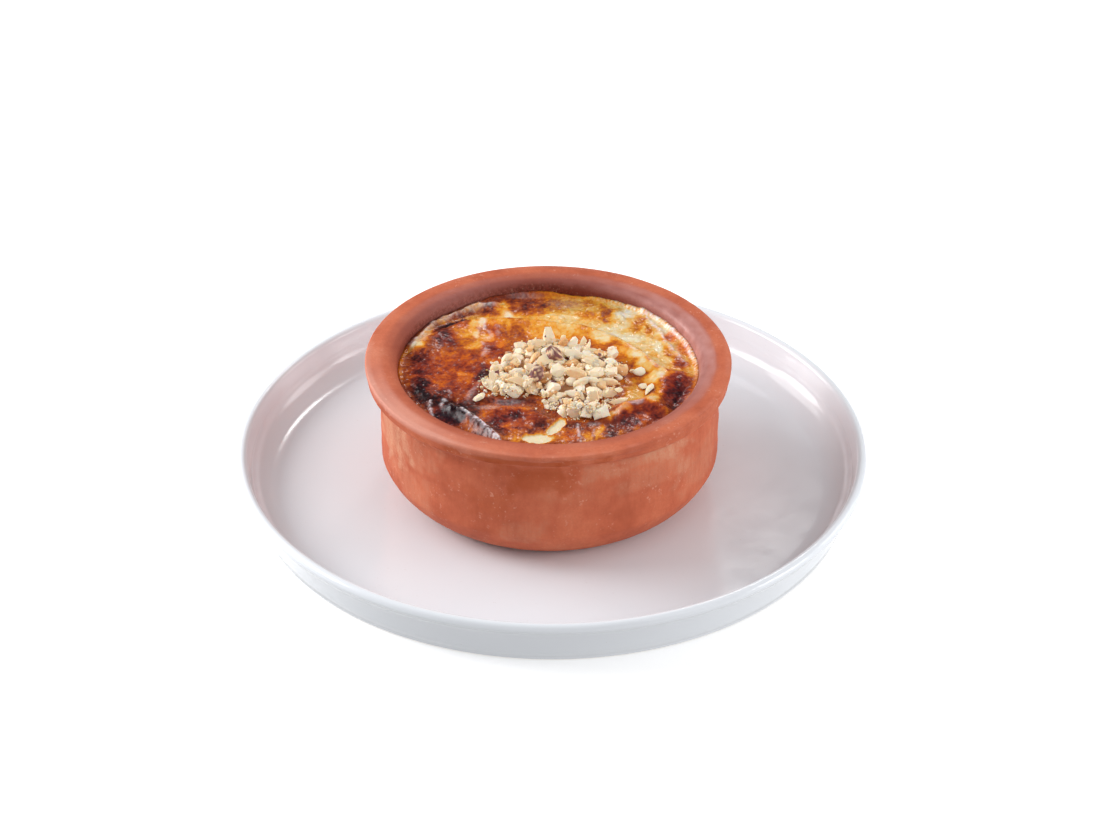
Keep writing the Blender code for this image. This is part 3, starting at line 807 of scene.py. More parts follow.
    (30.6, -8, 1.6, 2.4, 0.29), (33.2, -5.8, 2, 3.2, 0.17, 0.9),
    (36, -3.8, 1.6, 2.4, 0.14, 0.9, 10), (35, -6.4, 1.3, 1.4, 0.1),
    (32, 1, 1.5, 3, 0.14, 0.8, -30), (32.2, -21, 2, 1.5, 0.3), (31.8, -24, 2, 1.4, 0.74, 0.8),
    (35.2, -27, 1.5, 1.5, 0.74, 0.8), (35.8, -9, 1.3, 2.4, 0.4), (31, 0, 2.4, 2, 0.26, 0.8, -40),
    (27.5, -1, 2, 1.8, 0.42, 0.8),
    # right
    (40.5, -12, 3.5, 7, 0.81, 0.95, -8), (37.3, -12, 1.2, 6, 0.76, 0.85, -4),
    (35.4, -12.5, 0.9, 3.6, 0.6, 0.8), (36.8, -19.5, 1.5, 3.4, 0.62, 0.85, -10),
    (38.6, -21.5, 1.8, 2.4, 0.8, 0.85, -10), (43.3, -17, 1.3, 3.4, 0.62, 0.8, -20),
    (38.3, -3.2, 1.9, 1.5, 0.4, 0.88), (41.4, -2.9, 2.2, 1.3, 0.5, 0.88),
    (44.3, -2.8, 1.4, 2.2, 0.36),
)

# Broad washes over the dabs: x, y, reach x, reach y, browning added, and the turn if any.
WASHES = (
    (-30, 34, 9, 4.5, 0.17, 42), (-36, 28, 4, 4, 0.1, 30), (-19, 38.5, 5, 4, 0.22),
    (-4, 39, 7, 4, 0.18), (6, 43.5, 8, 3, 0.12), (8, 40, 9, 3.6, 0.1), (14, 35, 6, 3, 0.15),
    (17, 30, 5, 3, 0.1), (28, 29, 5, 6, 0.1), (-34, 17, 3.5, 5, 0.02), (-38, 11, 4, 5, 0.08),
    (-40.5, -16, 4, 7, 0.22, 10), (-30, -27, 4.5, 6, 0.18), (-12, -31, 5, 4.5, 0.15),
    (26, -32, 6, 3, 0.05, 15), (40.5, 0, 4, 5, 0.14), (39, -18, 3.5, 6, 0.1, -20),
    (-12, 23, 6, 4, 0.07), (-30, -1, 6, 4, 0.08), (-30, -13, 4.5, 5, 0.1), (-22, -5, 3, 4, 0.1),
    # a minus lightens; the one at (-20, 29), on the skin's edge, is a painted highlight
    (-20, 29, 5, 2.6, -0.15), (-24, 17, 4.5, 5, -0.1), (-20, 6, 3.5, 4, -0.12),
    (30, -20, 3.5, 3.5, -0.13), (16, -42, 6, 2.2, -0.08, 10),
)

# Where the browned skin is red rather than golden or, with a minus, olive. The value is a weight.
RED_SKIN = (
    (3, 41, 8, 6, -0.7), (14, 41, 12, 5, -0.7, -10), (-31, 33, 12, 5, -0.5, 45),
    (22, 28, 9, 9, -0.25), (-32, -2, 17, 14, 0.65), (-19, 14, 4, 9, 0.7), (-13, -29, 9, 8, 0.65),
    (40, -11, 5, 10, 0.95, -8), (39, 22, 2.5, 3.5, 1), (42.8, 14.5, 2.5, 4, 0.8),
    (42, 5, 3, 3, 0.7), (-30, 26, 2.5, 2.5, 0.7), (-31, 33.5, 4, 2, 0.6, 45),
    (-35, 18, 4, 4, 0.6), (-19.5, 24.5, 2.6, 4, 0.6), (28, -28, 9, 7, 0.7, 20),
    (5.5, -39.5, 3, 3, 0.6), (-35, -29, 7, 6, 0.8),
)

# Tears in the skin where the cream shows.
TEARS = (
    (-4.6, -40.9, 4.9, 2.5, 1, -5), (1.3, -34.7, 5, 1.9, 1, 58),
)

# Cloudy places where the skin or the crust looks greyish white, and painted highlights on lumps,
# folds and creases. The value is a weight.
HAZE_AND_PAINTED_HIGHLIGHT = (
    (5, 42.5, 6, 4, 0.22), (24.5, 36, 3.2, 2.4, 0.3), (-14.3, 35, 2, 2.4, 0.35),
    (-42.5, 19, 2.4, 4, 0.3, -20), (-45.3, 16, 1.4, 3, 0.55, -10), (-35.5, 31.5, 3, 1.6, 0.5, 50),
    (-31, 36, 2.4, 1, 0.2, 45), (-9, 47, 6, 1.2, 0.15, 4), (-40, 25.5, 1.4, 2.6, 0.4, -35),
    (-25, 39.5, 3.6, 1.6, 0.55, 35), (-20, 41.5, 3, 1.1, 0.2, 20),
    (-34.2, -20.2, 0.9, 1.5, 0.6, 15), (-35.2, -22.6, 0.9, 1.1, 0.6),
    (-22.3, 26.5, 0.9, 3.2, 0.5, -10), (-20.5, 22, 0.8, 2.2, 0.35, 25), (35, -6.2, 1.2, 1.4, 0.4),
    (33, 1, 0.8, 3.4, 0.35, 35), (-31.5, -24.6, 2.4, 0.5, 0.2),
    (-25.7, -15.5, 1.1, 3.6, 0.3, -18), (-14, -20, 5, 1.5, 0.2), (-20, -23, 4, 1.8, 0.25),
    (27, -21.8, 3, 1.4, 0.45, 20), (43.4, -17, 1.3, 3.6, 0.2, -20), (13, -32.8, 2.4, 1, 0.25),
    (-33, -14, 0.7, 1.6, 0.4, 20),
)

# Small ridges and, with a minus, grooves: line, height, spread to the left and right, and the
# painted highlight along the crest.
RIDGES = {
    "crust_by_the_wall": (
        (
            (-46, 14), (-44, 19), (-42, 23), (-39.5, 28),
            (-35.5, 32), (-31, 36), (-26, 40), (-19, 42.5),
        ),
        1.3, 1.1, 1.5, 0.65,
    ),
    "crust_lower_edge": (
        ((-38.5, 23.5), (-35, 27.3), (-31.5, 30.5), (-28, 32.7), (-24, 34.3)), 0.5, 0.5, 0.5, 0.3,
    ),
    "groove_in_front": (((-39, 21.5), (-34.3, 25), (-30.5, 28.6), (-26, 30.8)), -1, 0.9, 0.9, 0),
    "wet_edge_right": (
        ((30, 38), (34, 33.5), (38, 27.5), (41.5, 22), (44, 16), (45.6, 9)), 0.45, 0.7, 0.9, 0.85,
    ),
    "wet_fold_right": (
        ((30, 36.5), (33, 31.5), (35.2, 26.5), (36.8, 20.5), (38.6, 15.5), (41, 10.5), (44, 5)),
        0.4, 0.7, 1, 0.75,
    ),
    "pale_crease": (((-22.8, 29.5), (-23.8, 24.5), (-25, 19)), 0.25, 1, 1.1, 0.35),
    "short_crease": (((-18, 25.5), (-17.5, 21)), 0.15, 0.8, 0.9, 0.2),
    "low_crease": (((-22.4, 16), (-21.8, 12), (-22.6, 8)), 0.25, 0.9, 1, 0.4),
    "thin_edge": (
        ((6, 26), (13.5, 24.7), (20, 19.3), (24.5, 13), (28.5, 8), (33, 3), (37, -2.5)),
        0.14, 0.9, 1.6, 0,
    ),
    "pale_edge": (((24.5, 12.8), (28.5, 8.2), (33, 3.2), (36.5, -2)), 0.2, 0.6, 0.8, 0.45),
    "black_lump": (((-35.5, -18), (-34, -20), (-34.5, -23)), 0.6, 1.2, 1.1, 0),
    "black_gap": (((-31.3, -18), (-30.8, -22), (-30.5, -26.5)), -1, 0.9, 0.9, 0),
    "glossy_line": (((-38.7, -20), (-38.2, -26), (-37.9, -30)), 0.6, 0.45, 0.45, 0.7),
    "grey_crease": (((-22.8, -9), (-25, -13.5), (-26.8, -20)), 0.7, 1.3, 1.3, 0.15),
    "bright_fold": (
        ((-27.6, -27), (-25.6, -30), (-22.8, -34), (-20, -38), (-17, -43)), 0.5, 1.35, 1.35, 1.25,
    ),
    "front_drip": (((8, -33.8), (8.6, -38), (9.1, -43)), 0.35, 0.7, 0.7, 0.6),
    "front_drip_small": (((13.4, -36), (13, -39), (12.4, -43)), 0.2, 0.6, 0.6, 0.4),
    "dip_before_the_nuts": (((-24, -21), (-16, -21.5), (-6, -21.5), (0, -27)), -0.6, 1.6, 2.2, 0),
    "bowed_skin": (((-20, -26), (-14, -24.5), (-7, -25.5), (-2, -30)), 0.6, 1.6, 1.8, 0),
    "streak_front_right": (((19.5, -30), (21, -27), (23.5, -24)), 0.5, 0.8, 0.9, 0.35),
    "right_hollow": (((26, -8), (29, -12), (27, -17)), -0.5, 3, 3, 0),
}


def patches(table, x, y, ragged):
    """Each row's value, with how far out of its patch every point lies, where 1 is the edge."""
    for mid_x, mid_y, reach_x, reach_y, value, *turn in table:
        yield value, np.sqrt(spot(x, y, mid_x, mid_y, reach_x, reach_y, *turn)) + ragged


def wandered(value, x, y, *noises):
    """A coordinate shifted by noises of (reach, scale, seed), to draw crooked outlines with."""
    for reach, scale, seed in noises:
        value = value + reach * noise(x, y, scale, seed)
    return value


def browned(x, y, cream, ragged):
    """Browning before its fine mottle, and how far the cream lies open in the tears."""
    brown = mix(0.62, 0.24, cream)
    for mid_x, mid_y, reach_x, reach_y, target, *more in BROWNING:
        weight, turn = (*more, *BROWNING_USUAL[len(more) :])
        far = np.sqrt(spot(x, y, mid_x, mid_y, reach_x * 1.3, reach_y * 1.3, turn))
        brown = mix(brown, target, weight * smooth(far + ragged, 1.35, 0.25))
    for added, far in patches(WASHES, x, y, 2 * ragged):
        brown = brown + added * smooth(far, 1.5, 0.4)
    torn = np.zeros_like(x)
    for weight, far in patches(TEARS, x, y, ragged * 0.7):
        torn = np.maximum(torn, weight * smooth(far, 1.35, 0.8))
    open_cream = smooth(torn, 0.55, 0.95)
    brown = mix(brown, 0.42, smooth(torn, 0.05, 0.5) * 0.85)
    return mix(brown, 0.06, open_cream), open_cream


def with_ridges(x, y, relief):
    """The relief with the small ridges on it, and the painted highlight along their crests."""
    painted_crest_highlight = np.zeros_like(x)
    for line, lift, spread_left, spread_right, painted_shine in RIDGES.values():
        share, _ = across_line(line, x, y, spread_left, spread_right)
        relief = relief + lift * np.exp(-(share**2))
        painted_crest_highlight = np.maximum(painted_crest_highlight, painted_shine * np.exp(-((share / 0.8) ** 2)))
    return relief, painted_crest_highlight


def pudding_surface(x, y):
    """Height, browning, haze with painted highlights, and redness over points from the bowl's
    axis.
    """
    form, cream = surface_form(x, y)
    frame_x, frame_y = x + BOWL_X + MOUTH_DRIFT, y + BOWL_Y
    warp_x = wandered(frame_x, x, y, (0.6, 4.5, 51), (0.35, 1.7, 52))
    warp_y = wandered(frame_y, x, y, (0.6, 4.5, 53), (0.35, 1.7, 54))
    ragged = 0.22 * fractal(x, y, 2.2, 55, 3)
    brown, open_cream = browned(warp_x, warp_y, cream, ragged)
    radius, turn = np.hypot(x, y), np.arctan2(y, x)
    wall = smooth(radius, PUDDING_RADIUS - 3.2, PUDDING_RADIUS - 0.6)
    skin = 1 - cream

    # Fine relief: rough wrinkles where it is brown, soft lumps of rice where it is cream.
    dark = smooth(brown, 0.35, 0.85)
    wrinkle = creases(warp_x, warp_y, 3.4, 61) - 0.35
    pores = fractal(x, y, 1.5, 63, 3)
    lumps = fractal(x, y, 3.0, 66, 2)
    relief = dark * (0.11 * wrinkle + 0.08 * pores) * skin
    relief = relief + (0.16 + 0.12 * (1 - dark)) * lumps + (0.03 + 0.05 * cream) * pores
    relief = relief + rice_lumps(x, y) * np.maximum(cream, 0.25 * (1 - dark)) * (1 - wall)
    relief = relief + fold_wrinkles(x, y, warp_x)
    drift_x = wandered(frame_x, x, y, (0.6, 4, 57), (0.3, 1.5, 59))
    drift_y = wandered(frame_y, x, y, (0.6, 4, 58), (0.3, 1.5, 60))
    relief, painted_crest_highlight = with_ridges(drift_x, drift_y, relief)
    relief = relief - 0.45 * open_cream

    # By the wall it climbs in a thin line, higher at the back, with a shallow gutter inside.
    bearing = np.degrees(turn)
    pale_rim = smooth(np.abs(bearing - 32), 46, 26)  # baked higher up the wall at the back right
    climb = 0.35 + 0.5 * fractal(turn * 48, radius * 0, 9, 71, 3) + 0.85 * pale_rim
    climb = climb + 1.1 * smooth(np.abs(bearing - 102), 22, 8)
    meniscus = smooth(radius, PUDDING_RADIUS - 2.0, PUDDING_RADIUS) ** 2 * np.maximum(climb, 0.05)
    gutter = -0.25 * np.exp(-(((radius - PUDDING_RADIUS + 3.0) / 1.1) ** 2))
    height = form + relief + meniscus + gutter

    # A fine mottle over the browning, and a golden or brown ring by the wall.
    mottle = 0.18 * fractal(warp_x, warp_y, 2.8, 72, 3) + 0.08 * noise(warp_x, warp_y, 1.2, 73)
    light_specks = -0.16 * smooth(noise(x, y, 0.75, 75), 0.45, 0.8) * dark
    specks = light_specks + 0.12 * smooth(noise(x, y, 0.9, 74), 0.5, 0.8)
    brown = brown + (mottle * (0.75 + 0.35 * dark) + specks) * (1 - open_cream)
    ring = smooth(radius, PUDDING_RADIUS - 1.8, PUDDING_RADIUS - 0.6)
    golden = smooth(frame_x + 0.4 * frame_y, 4, 30)
    golden = golden + smooth(np.abs(frame_x + 47) + np.abs(frame_y - 2), 14, 6)
    rim = mix(0.80, 0.46, np.clip(golden, 0, 1)) + 0.16 * fractal(turn * 48, radius, 5, 76)
    crumbly = noise(x, y, 0.9, 77)
    rim = mix(rim, 0.40 + 0.26 * crumbly, pale_rim)
    brown = mix(brown, rim, 0.7 * ring)

    red, haze_and_painted_highlight = np.zeros_like(x), np.zeros_like(x)
    for weight, far in patches(RED_SKIN, warp_x, warp_y, ragged):
        red = red + weight * smooth(far, 1.3, 0.6) * (1 - np.abs(red))
    for weight, far in patches(HAZE_AND_PAINTED_HIGHLIGHT, warp_x, warp_y, ragged):
        haze_and_painted_highlight = np.maximum(haze_and_painted_highlight, weight * smooth(far, 1.3, 0.5))
    haze_and_painted_highlight = haze_and_painted_highlight * (0.65 + 0.7 * np.abs(noise(x, y, 1.2, 78)))
    haze_and_painted_highlight = np.maximum(haze_and_painted_highlight, ring * pale_rim * (0.32 - 0.6 * crumbly))
    # the ridges' painted crest highlight, broken up, joins the haze
    painted_crest_highlight = painted_crest_highlight * smooth(fractal(x, y, 1.8, 79, 3), -0.35, 0.1)
    # painted glints: small white dots painted over the skin
    painted_glints = 0.6 * smooth(noise(x, y, 0.75, 83), 0.55, 0.8)
    painted_glints = painted_glints * smooth(fractal(x, y, 6, 84), -0.1, 0.3) * skin * smooth(frame_x, 17, 7)
    haze_and_painted_highlight = np.maximum(np.maximum(haze_and_painted_highlight, painted_crest_highlight) * (0.85 + 0.7 * noise(x, y, 0.8, 80)), painted_glints)
    return height, np.clip(brown, 0, 1), np.clip(haze_and_painted_highlight, 0, 1), red


def fold_wrinkles(x, y, warp_x):
    """Small puckers across and along the dark folds."""
    relief = np.zeros_like(x)
    for name in ("front_left_fold", "front_right_fold"):
        away, run = beside_line(SKIN_FOLDS[name][0], x, y)
        pucker = 0.5 * noise(run + 0.8 * warp_x, away * 0.6, 3.4, 81) + 0.6 * noise(x, y, 1.2, 82)
        relief = relief + 0.30 * np.exp(-((away / 2.6) ** 2)) * pucker
    return relief


def rice_lumps(x, y):
    """Grains of rice just under the surface, as low rounded bumps."""
    rng = np.random.default_rng(91)
    relief = np.zeros_like(x)
    for _ in range(520):
        mid_x, mid_y = rng.uniform(-47, 47, 2)
        turn, length, lift = rng.uniform(0, 180), rng.uniform(2.0, 3.4), rng.uniform(0.12, 0.42)
        near = (np.abs(x - mid_x) < 4) & (np.abs(y - mid_y) < 4)
        far = spot(x[near], y[near], mid_x, mid_y, length, length * 0.42, turn)
        relief[near] = np.maximum(relief[near], lift * np.clip(1 - far, 0, 1) ** 0.6)
    return relief


def disc_grid(count):
    """Points evenly over the unit disc, the quads between them and the outline's indices."""
    line = np.linspace(-1, 1, count + 1)
    a, b = np.meshgrid(line, line, indexing="ij")
    wide = np.abs(a) > np.abs(b)
    with np.errstate(divide="ignore", invalid="ignore"):
        angle = np.where(wide, math.pi / 4 * b / a, math.pi / 2 - math.pi / 4 * a / b)
    reach = np.where(wide, a, b)
    angle = np.nan_to_num(angle)
    points = np.stack([reach * np.cos(angle), reach * np.sin(angle)], -1).reshape(-1, 2)
    index = np.arange((count + 1) ** 2).reshape(count + 1, count + 1)
    quads = np.stack([index[:-1, :-1], index[1:, :-1], index[1:, 1:], index[:-1, 1:]], -1)
    outline = np.concatenate(
        [index[:-1, 0], index[-1, :-1], index[:0:-1, -1], index[0, :0:-1]]
    )
    return points, quads.reshape(-1, 4), outline


def add_pudding():
    count = 286
    disc, quads, outline = disc_grid(count)
    x, y = (disc * PUDDING_RADIUS).T
    height, brown, haze_and_painted_highlight, red = pudding_surface(x, y)
    points = np.stack([x, y, height], -1)
    # The outermost ring leans out with the bowl's mouth, so no gap opens beside it.
    flare = np.interp(height[outline], (44.9, 46.8, 47.7), (48.68, 48.84, 48.98)) / PUDDING_RADIUS
    points[outline, :2] *= flare[:, None]
    rings = ((48.3, 44.0), (48.3, 30.0), (48.3, 22.5), (44.0, 13.6), (34.0, 10.3))
    blocks, tones = [points], [np.stack([brown, haze_and_painted_highlight, red], -1)]
    around = np.arange(len(outline))
    onward = (around + 1) % len(outline)
    faces, previous, total = [quads], outline, len(points)
    unit = disc[outline]
    for radius, z in rings:
        blocks.append(np.column_stack([unit * radius, np.full(len(outline), z)]))
        tones.append(np.tile((0.45, 0.0, 0.0), (len(outline), 1)))
        current = total + around
        faces.append(np.stack([previous[onward], previous, current, current[onward]], -1))
        previous, total = current, total + len(outline)
    blocks.append(np.array([[0.0, 0.0, rings[-1][1]]]))
    tones.append(np.array([[0.45, 0.0, 0.0]]))
    faces.append(np.stack([previous[onward], previous, np.full(len(outline), total)], -1))
    points = mouth_lean(np.concatenate(blocks))
    mesh = make_mesh("pudding_baked", points, faces)
    for name, values in zip(("brown", "haze_and_painted_highlight", "red"), np.concatenate(tones).T):
        set_values(mesh, name, values)
    add_piece("pudding_baked", mesh, pudding_material(), "rice_pudding")


# From raw cream over gold and brown to burnt.
SKIN_TONES = (
    (0.00, (0.88, 0.80, 0.60)),
    (0.12, (0.86, 0.70, 0.42)),
    (0.26, (0.86, 0.51, 0.15)),
    (0.38, (0.83, 0.33, 0.03)),
    (0.50, (0.64, 0.175, 0.014)),
    (0.62, (0.42, 0.088, 0.018)),
    (0.74, (0.24, 0.038, 0.014)),
    (0.86, (0.105, 0.015, 0.010)),
    (1.00, (0.020, 0.006, 0.008)),
)


def pudding_material():
    finish = Finish("baked_skin")
    fine, broad = finish.noise(0.8, 3, 0.6), finish.noise(2.6, 3, 0.6)
    brown, haze_and_painted_highlight, red = (finish.value(name) for name in ("brown", "haze_and_painted_highlight", "red"))
    wander = (fine - 0.5) * 0.30 + (broad - 0.5) * 0.22
    wander = wander * brown.ranged(0.05, 0.5, 0.35, 1.0)
    colour = brown.maths("ADD", wander, clamp=True).ramp(SKIN_TONES)
    colour = red.positive().between(colour, (1.0, 0.68, 1.15), "MULTIPLY")
    olive = (red * -1.0).positive()
    colour = olive.between(colour, (0.74, 0.97, 1.45), "MULTIPLY")
    dull = olive.maths("MULTIPLY", 1.6, clamp=True)
    # haze colour: lilac white for the painted highlights, beige on the olive crust
    haze_and_highlight_colour = dull.between((0.95, 0.87, 0.91), (0.80, 0.68, 0.50))
    finish.set(
        {
            "Base Color": (haze_and_painted_highlight * 0.95).between(colour, haze_and_highlight_colour),
            "Roughness": broad.ranged(0.3, 0.7, 0.14, 0.32) + brown.ranged(0.5, 0.9, 0.0, 0.14),
            "IOR": 1.46,
            "Subsurface Weight": 0.18,
            "Subsurface Radius": (1.0, 0.45, 0.18),
            "Subsurface Scale": 1.2 * MM,
            "Specular IOR Level": 0.38,
            "Coat Weight": 0.18,
            "Coat Roughness": 0.06,
        }
    )
    finish.bump(fine, 0.12, 0.7)
    return finish.material


# ---------------------------------------------------------------- nuts


def mounds_reach(angle):
    """Distance from the heap's middle to the far side of its farthest mound."""
    step_x, step_y = np.cos(angle), np.sin(angle)
    reach = np.zeros_like(angle)
    for x, y, half_width, half_depth, _ in HEAP_MOUNDS:
        from_x, from_y = (HEAP_X - x) / half_width, (HEAP_Y - y) / half_depth
        a = (step_x / half_width) ** 2 + (step_y / half_depth) ** 2
        b = from_x * step_x / half_width + from_y * step_y / half_depth
        inside = b * b - a * (from_x**2 + from_y**2 - 1)
        far = np.where(inside > 0, (np.sqrt(np.maximum(inside, 0)) - b) / a, 0.0)
        reach = np.maximum(reach, far)
    return reach


def heap_reach(angle):
    """Distance from the heap's middle to its outline, which runs smoothly from mound to mound."""
    turns = [math.radians(6 * step) for step in (-2, -1, 0, 1, 2)]
    return sum(mounds_reach(angle + turn) for turn in turns) / len(turns)


def heap_share(x, y):
    """0 at the heap's middle and 1 at its outline."""
    angle = np.arctan2(y - HEAP_Y, x - HEAP_X)
    return np.hypot(x - HEAP_X, y - HEAP_Y) / heap_reach(angle)


def cluster_gap(x, y):
    """1 on the bare pudding between the heap and the small cluster in front of it."""
    return smooth(np.abs(x - 9.5), 12, 9) * smooth(np.abs(y + 21.9), 3.6, 2.4)


def heap_depth(x, y):
    """How high the mounds of the heap stand over the pudding."""
    mound = np.zeros_like(x)
    for mid_x, mid_y, half_width, half_depth, height in HEAP_MOUNDS:
        spread = ((x - mid_x) / half_width) ** 2 + ((y - mid_y) / half_depth) ** 2
        mound = np.maximum(mound, height * np.maximum(1 - spread, 0.0) ** 0.7)
    return mound


def broken_shape(rng, fine):
    """A chopped piece in a 2 x 2 x 2 box: points, triangles and where the kernel is unbroken."""
    mesh = bmesh.new()
    bmesh.ops.create_icosphere(mesh, subdivisions=2 if fine else 1, radius=1.0)
    for _ in range(rng.integers(5, 9)):
        normal = Vector(rng.normal(size=3)).normalized()
        cut = bmesh.ops.bisect_plane(
            mesh,
            geom=mesh.verts[:] + mesh.edges[:] + mesh.faces[:],
            dist=0.001,
            plane_co=normal * rng.uniform(0.26, 0.72),
            plane_no=normal,
            clear_outer=True,
        )
        rim = [item for item in cut["geom_cut"] if isinstance(item, bmesh.types.BMEdge)]
        if len(rim) > 2:
            for face in bmesh.ops.contextual_create(mesh, geom=rim)["faces"]:
                face.material_index = 1
    bmesh.ops.dissolve_degenerate(mesh, dist=0.05, edges=mesh.edges[:])
    bmesh.ops.triangulate(mesh, faces=mesh.faces[:])
    if fine:
        for longest in (0.45, 0.3):
            coarse = [paler_edge_and_highlight for paler_edge_and_highlight in mesh.edges if paler_edge_and_highlight.calc_length() > longest]
            bmesh.ops.subdivide_edges(mesh, edges=coarse, cuts=1)
            bmesh.ops.triangulate(mesh, faces=mesh.faces[:])
    points = np.array([vert.co[:] for vert in mesh.verts])
    whole = np.array([all(f.material_index == 0 for f in vert.link_faces) for vert in mesh.verts])
    faces = np.array([[vert.index for vert in face.verts] for face in mesh.faces])
    normals = np.array([vert.normal[:] for vert in mesh.verts])
    mesh.free()
    seed = int(rng.integers(1000))
    rough = noise(points[:, 0] + points[:, 2], points[:, 1] - points[:, 2], 0.55, seed)
    rough = rough + 0.6 * noise(points[:, 0] - points[:, 1], points[:, 2], 0.3, seed + 1)
    points = points + normals * (rough * 0.04 * (1 - 0.7 * whole))[:, None]
    bend_x, bend_y = rng.uniform(-0.35, 0.35), rng.uniform(-0.2, 0.2)
    points[:, 2] += bend_x * points[:, 0] ** 2 + bend_y * points[:, 1] ** 2
    low, high = points.min(axis=0), points.max(axis=0)
    return (points - (low + high) / 2) / (high - low) * 2, faces, whole.astype(float)


def fullness(shape):
    """Share of its box that a piece fills."""
    a, b, c = shape[0][shape[1]].transpose(1, 0, 2)
    return abs((np.cross(a, b) * c).sum()) / 48


def turned_by(turn_deg, lean_deg, roll_deg=0.0):
    """Turned about z, then its far side raised, then rolled about the y axis."""
    made = np.eye(3)
    for degrees, i, j in ((roll_deg, 2, 0), (lean_deg, 1, 2), (turn_deg, 0, 1)):
        step, angle = np.eye(3), math.radians(degrees)
        step[i, i] = step[j, j] = math.cos(angle)
        step[j, i], step[i, j] = math.sin(angle), -math.sin(angle)
        made = made @ step
    return made


LISTED_SCALE = 0.72  # 0.5 fits a piece's box to its listed size, and broken corners lose some
CORE_SHARE = 0.42  # height of the core beside that of the heap
HEAP_EDGE = 0.90  # share of the heap's reach that the pieces' middles keep within
GRID_STEP = 0.4
GRID_HALF = 100  # cells from the heap's middle to the side of its height map

